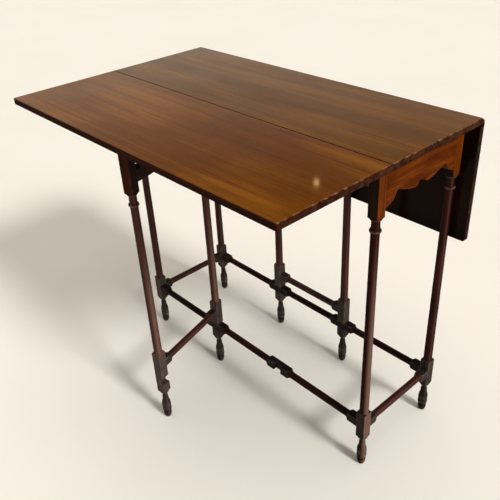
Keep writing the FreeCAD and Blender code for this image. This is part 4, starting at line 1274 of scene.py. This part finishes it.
@dataclass
class Studio:
    """A pale floor, soft light and the camera."""

    floor_side: float = 60.0
    floor_drop: float = 0.0002  # how far it lies under the feet
    # The surround's strength low down, half way up, overhead and in the window's panes, and
    # where each share starts and is full: by height, and for the panes along X first.
    horizon: float = 1.16
    middle_sky: float = 0.05
    overhead: float = 1.9
    panes: float = 5.0
    band: Limits = (0.12, 0.5)
    dome: Limits = (0.78, 0.97)
    pane: tuple[Limits, Limits] = ((0.88, 0.97), (0.55, 0.4))
    air: str = "#f1f0e1"
    overhead_air: str = "#fbeddc"
    backdrop: str = "#f4f0e4"
    window: float = 2.4
    window_tint: str = "#fffaf2"
    window_spread: float = 12.0  # degrees
    window_place: Corner = (3.9, 0.15, 3.45)
    spark: float = 0.011
    spark_tint: str = "#ffd08a"
    spark_side: float = 0.02
    spark_place: Corner = (-0.621, 0.931, 1.413)
    aim: Corner = (0.0, 0.1, 0.4)  # where both lamps look
    azimuth: float = 49.295  # degrees, like the next two
    elevation: float = 31.891
    roll: float = -3.362
    lens_mm: float = 46.05
    film_mm: float = 36.0
    eye: Corner = (0.9110, -0.74975, 1.1196)

    def build(self) -> None:
        """Lay the floor, hang the lamps and set the camera."""
        self.floor()
        self.light()
        self.camera()

    def floor(self) -> None:
        """Lay a painted floor, a flat grid of four squares just under the feet."""
        side = np.linspace(-self.floor_side / 2, self.floor_side / 2, 3)
        x, y = np.meshgrid(side, side)
        points = np.stack([x.ravel(), y.ravel(), np.full(x.size, -self.floor_drop)], axis=1)
        faces = [(k, k + 1, k + 4, k + 3) for k in (0, 1, 3, 4)]
        mesh = bpy.data.meshes.new("floor")
        mesh.from_pydata(points.tolist(), [], faces)
        mesh.materials.append(FloorPaint().material())
        add_object("floor", mesh)

    def light(self) -> None:
        """Light the table from all round.

        The surround is pale low down, dark half way up and bright overhead, with a window and its
        daylight on the right, and a small warm lamp behind.  To the camera it is one pale backdrop.
        """
        world = bpy.data.worlds.new("studio")
        bpy.context.scene.world = world
        world.use_nodes = True
        tree = world.node_tree
        tree.nodes.clear()
        way = add_node(tree, "TexCoord")["Generated"]
        parts = add_node(tree, "SeparateXYZ", {0: way})
        across, up = parts[0], parts[2]
        low = add_node(tree, "MapRange", {
            "Value": up, "From Min": self.band[0], "From Max": self.band[1],
            "To Min": self.horizon, "To Max": self.middle_sky}, interpolation_type="SMOOTHSTEP")[0]
        above = where(tree, (up, *self.dome))
        sideways, upwards = self.pane
        behind_glass = where(tree, (across, *sideways), (up, *upwards))
        level = low
        for share, strength in ((above, self.overhead), (behind_glass, self.panes)):
            level = add_node(tree, "Math", {0: share, 1: strength, 2: level},
                             operation="MULTIPLY_ADD")[0]
        seen = add_node(tree, "LightPath")["Is Camera Ray"]
        level = add_node(tree, "Mix", {0: seen, 2: level, 3: 1.0})[0]
        colour = lay(tree, linear(self.air), [(above, linear(self.overhead_air)),
                                              (seen, linear(self.backdrop))])
        sky = add_node(tree, "Background", {"Color": colour, "Strength": level})[0]
        add_node(tree, "OutputWorld", {"Surface": sky})
        window = self.lamp("window", "SUN", self.window_place, self.window, self.window_tint)
        window.angle = math.radians(self.window_spread)
        spark = self.lamp("spark", "AREA", self.spark_place, self.spark, self.spark_tint)
        spark.size = self.spark_side

    def lamp(self, name: str, kind: str, place: Corner, power: float, tint: str) -> Light:
        """Hang a lamp that looks at the middle of the table.

        Args:
            name: Its name.
            kind: The kind of light.
            place: Where it hangs.
            power: Its strength.
            tint: Its colour.

        Returns:
            The lamp's data.
        """
        data = bpy.data.lights.new(name, kind)
        data.energy = power
        data.color = linear(tint)[:3]
        thing = add_object(name, data)
        thing.location = place
        thing.rotation_euler = (Vector(self.aim) - Vector(place)).to_track_quat("-Z", "Y").to_euler()
        return data

    def camera(self) -> None:
        """Stand the camera where the table is seen from.

        The view runs back along (sin a cos e, -cos a cos e, sin e) for azimuth a and elevation e;
        the frame is turned about it by the roll.
        """
        a, e, r = (math.radians(v) for v in (self.azimuth, self.elevation, self.roll))
        back = Vector((math.sin(a) * math.cos(e), -math.cos(a) * math.cos(e), math.sin(e)))
        right = Vector((math.cos(a), math.sin(a), 0.0))
        up = back.cross(right)
        across = right * math.cos(r) + up * math.sin(r)
        above = up * math.cos(r) - right * math.sin(r)
        data = bpy.data.cameras.new("camera")
        data.lens = self.lens_mm
        data.sensor_width = self.film_mm
        camera = add_object("camera", data)
        turn = Matrix((across, above, back)).transposed().to_4x4()
        camera.matrix_world = Matrix.Translation(self.eye) @ turn
        bpy.context.scene.camera = camera
        bpy.context.scene.view_settings.view_transform = "Standard"


def main() -> None:
    """Build the table's sub-assemblies in order, then the studio."""
    logging.basicConfig(level=logging.INFO, format="%(message)s")
    stretchers = Stretchers()
    for assembly in (Boards(), EndRails(), Carcase(), Ironmongery(), CornerLegs(), stretchers,
                     Gate("front", stretchers, (190.0, 520.0)), Gate("back", stretchers),
                     Studio()):
        assembly.build()


if __name__ == "__main__":
    main()
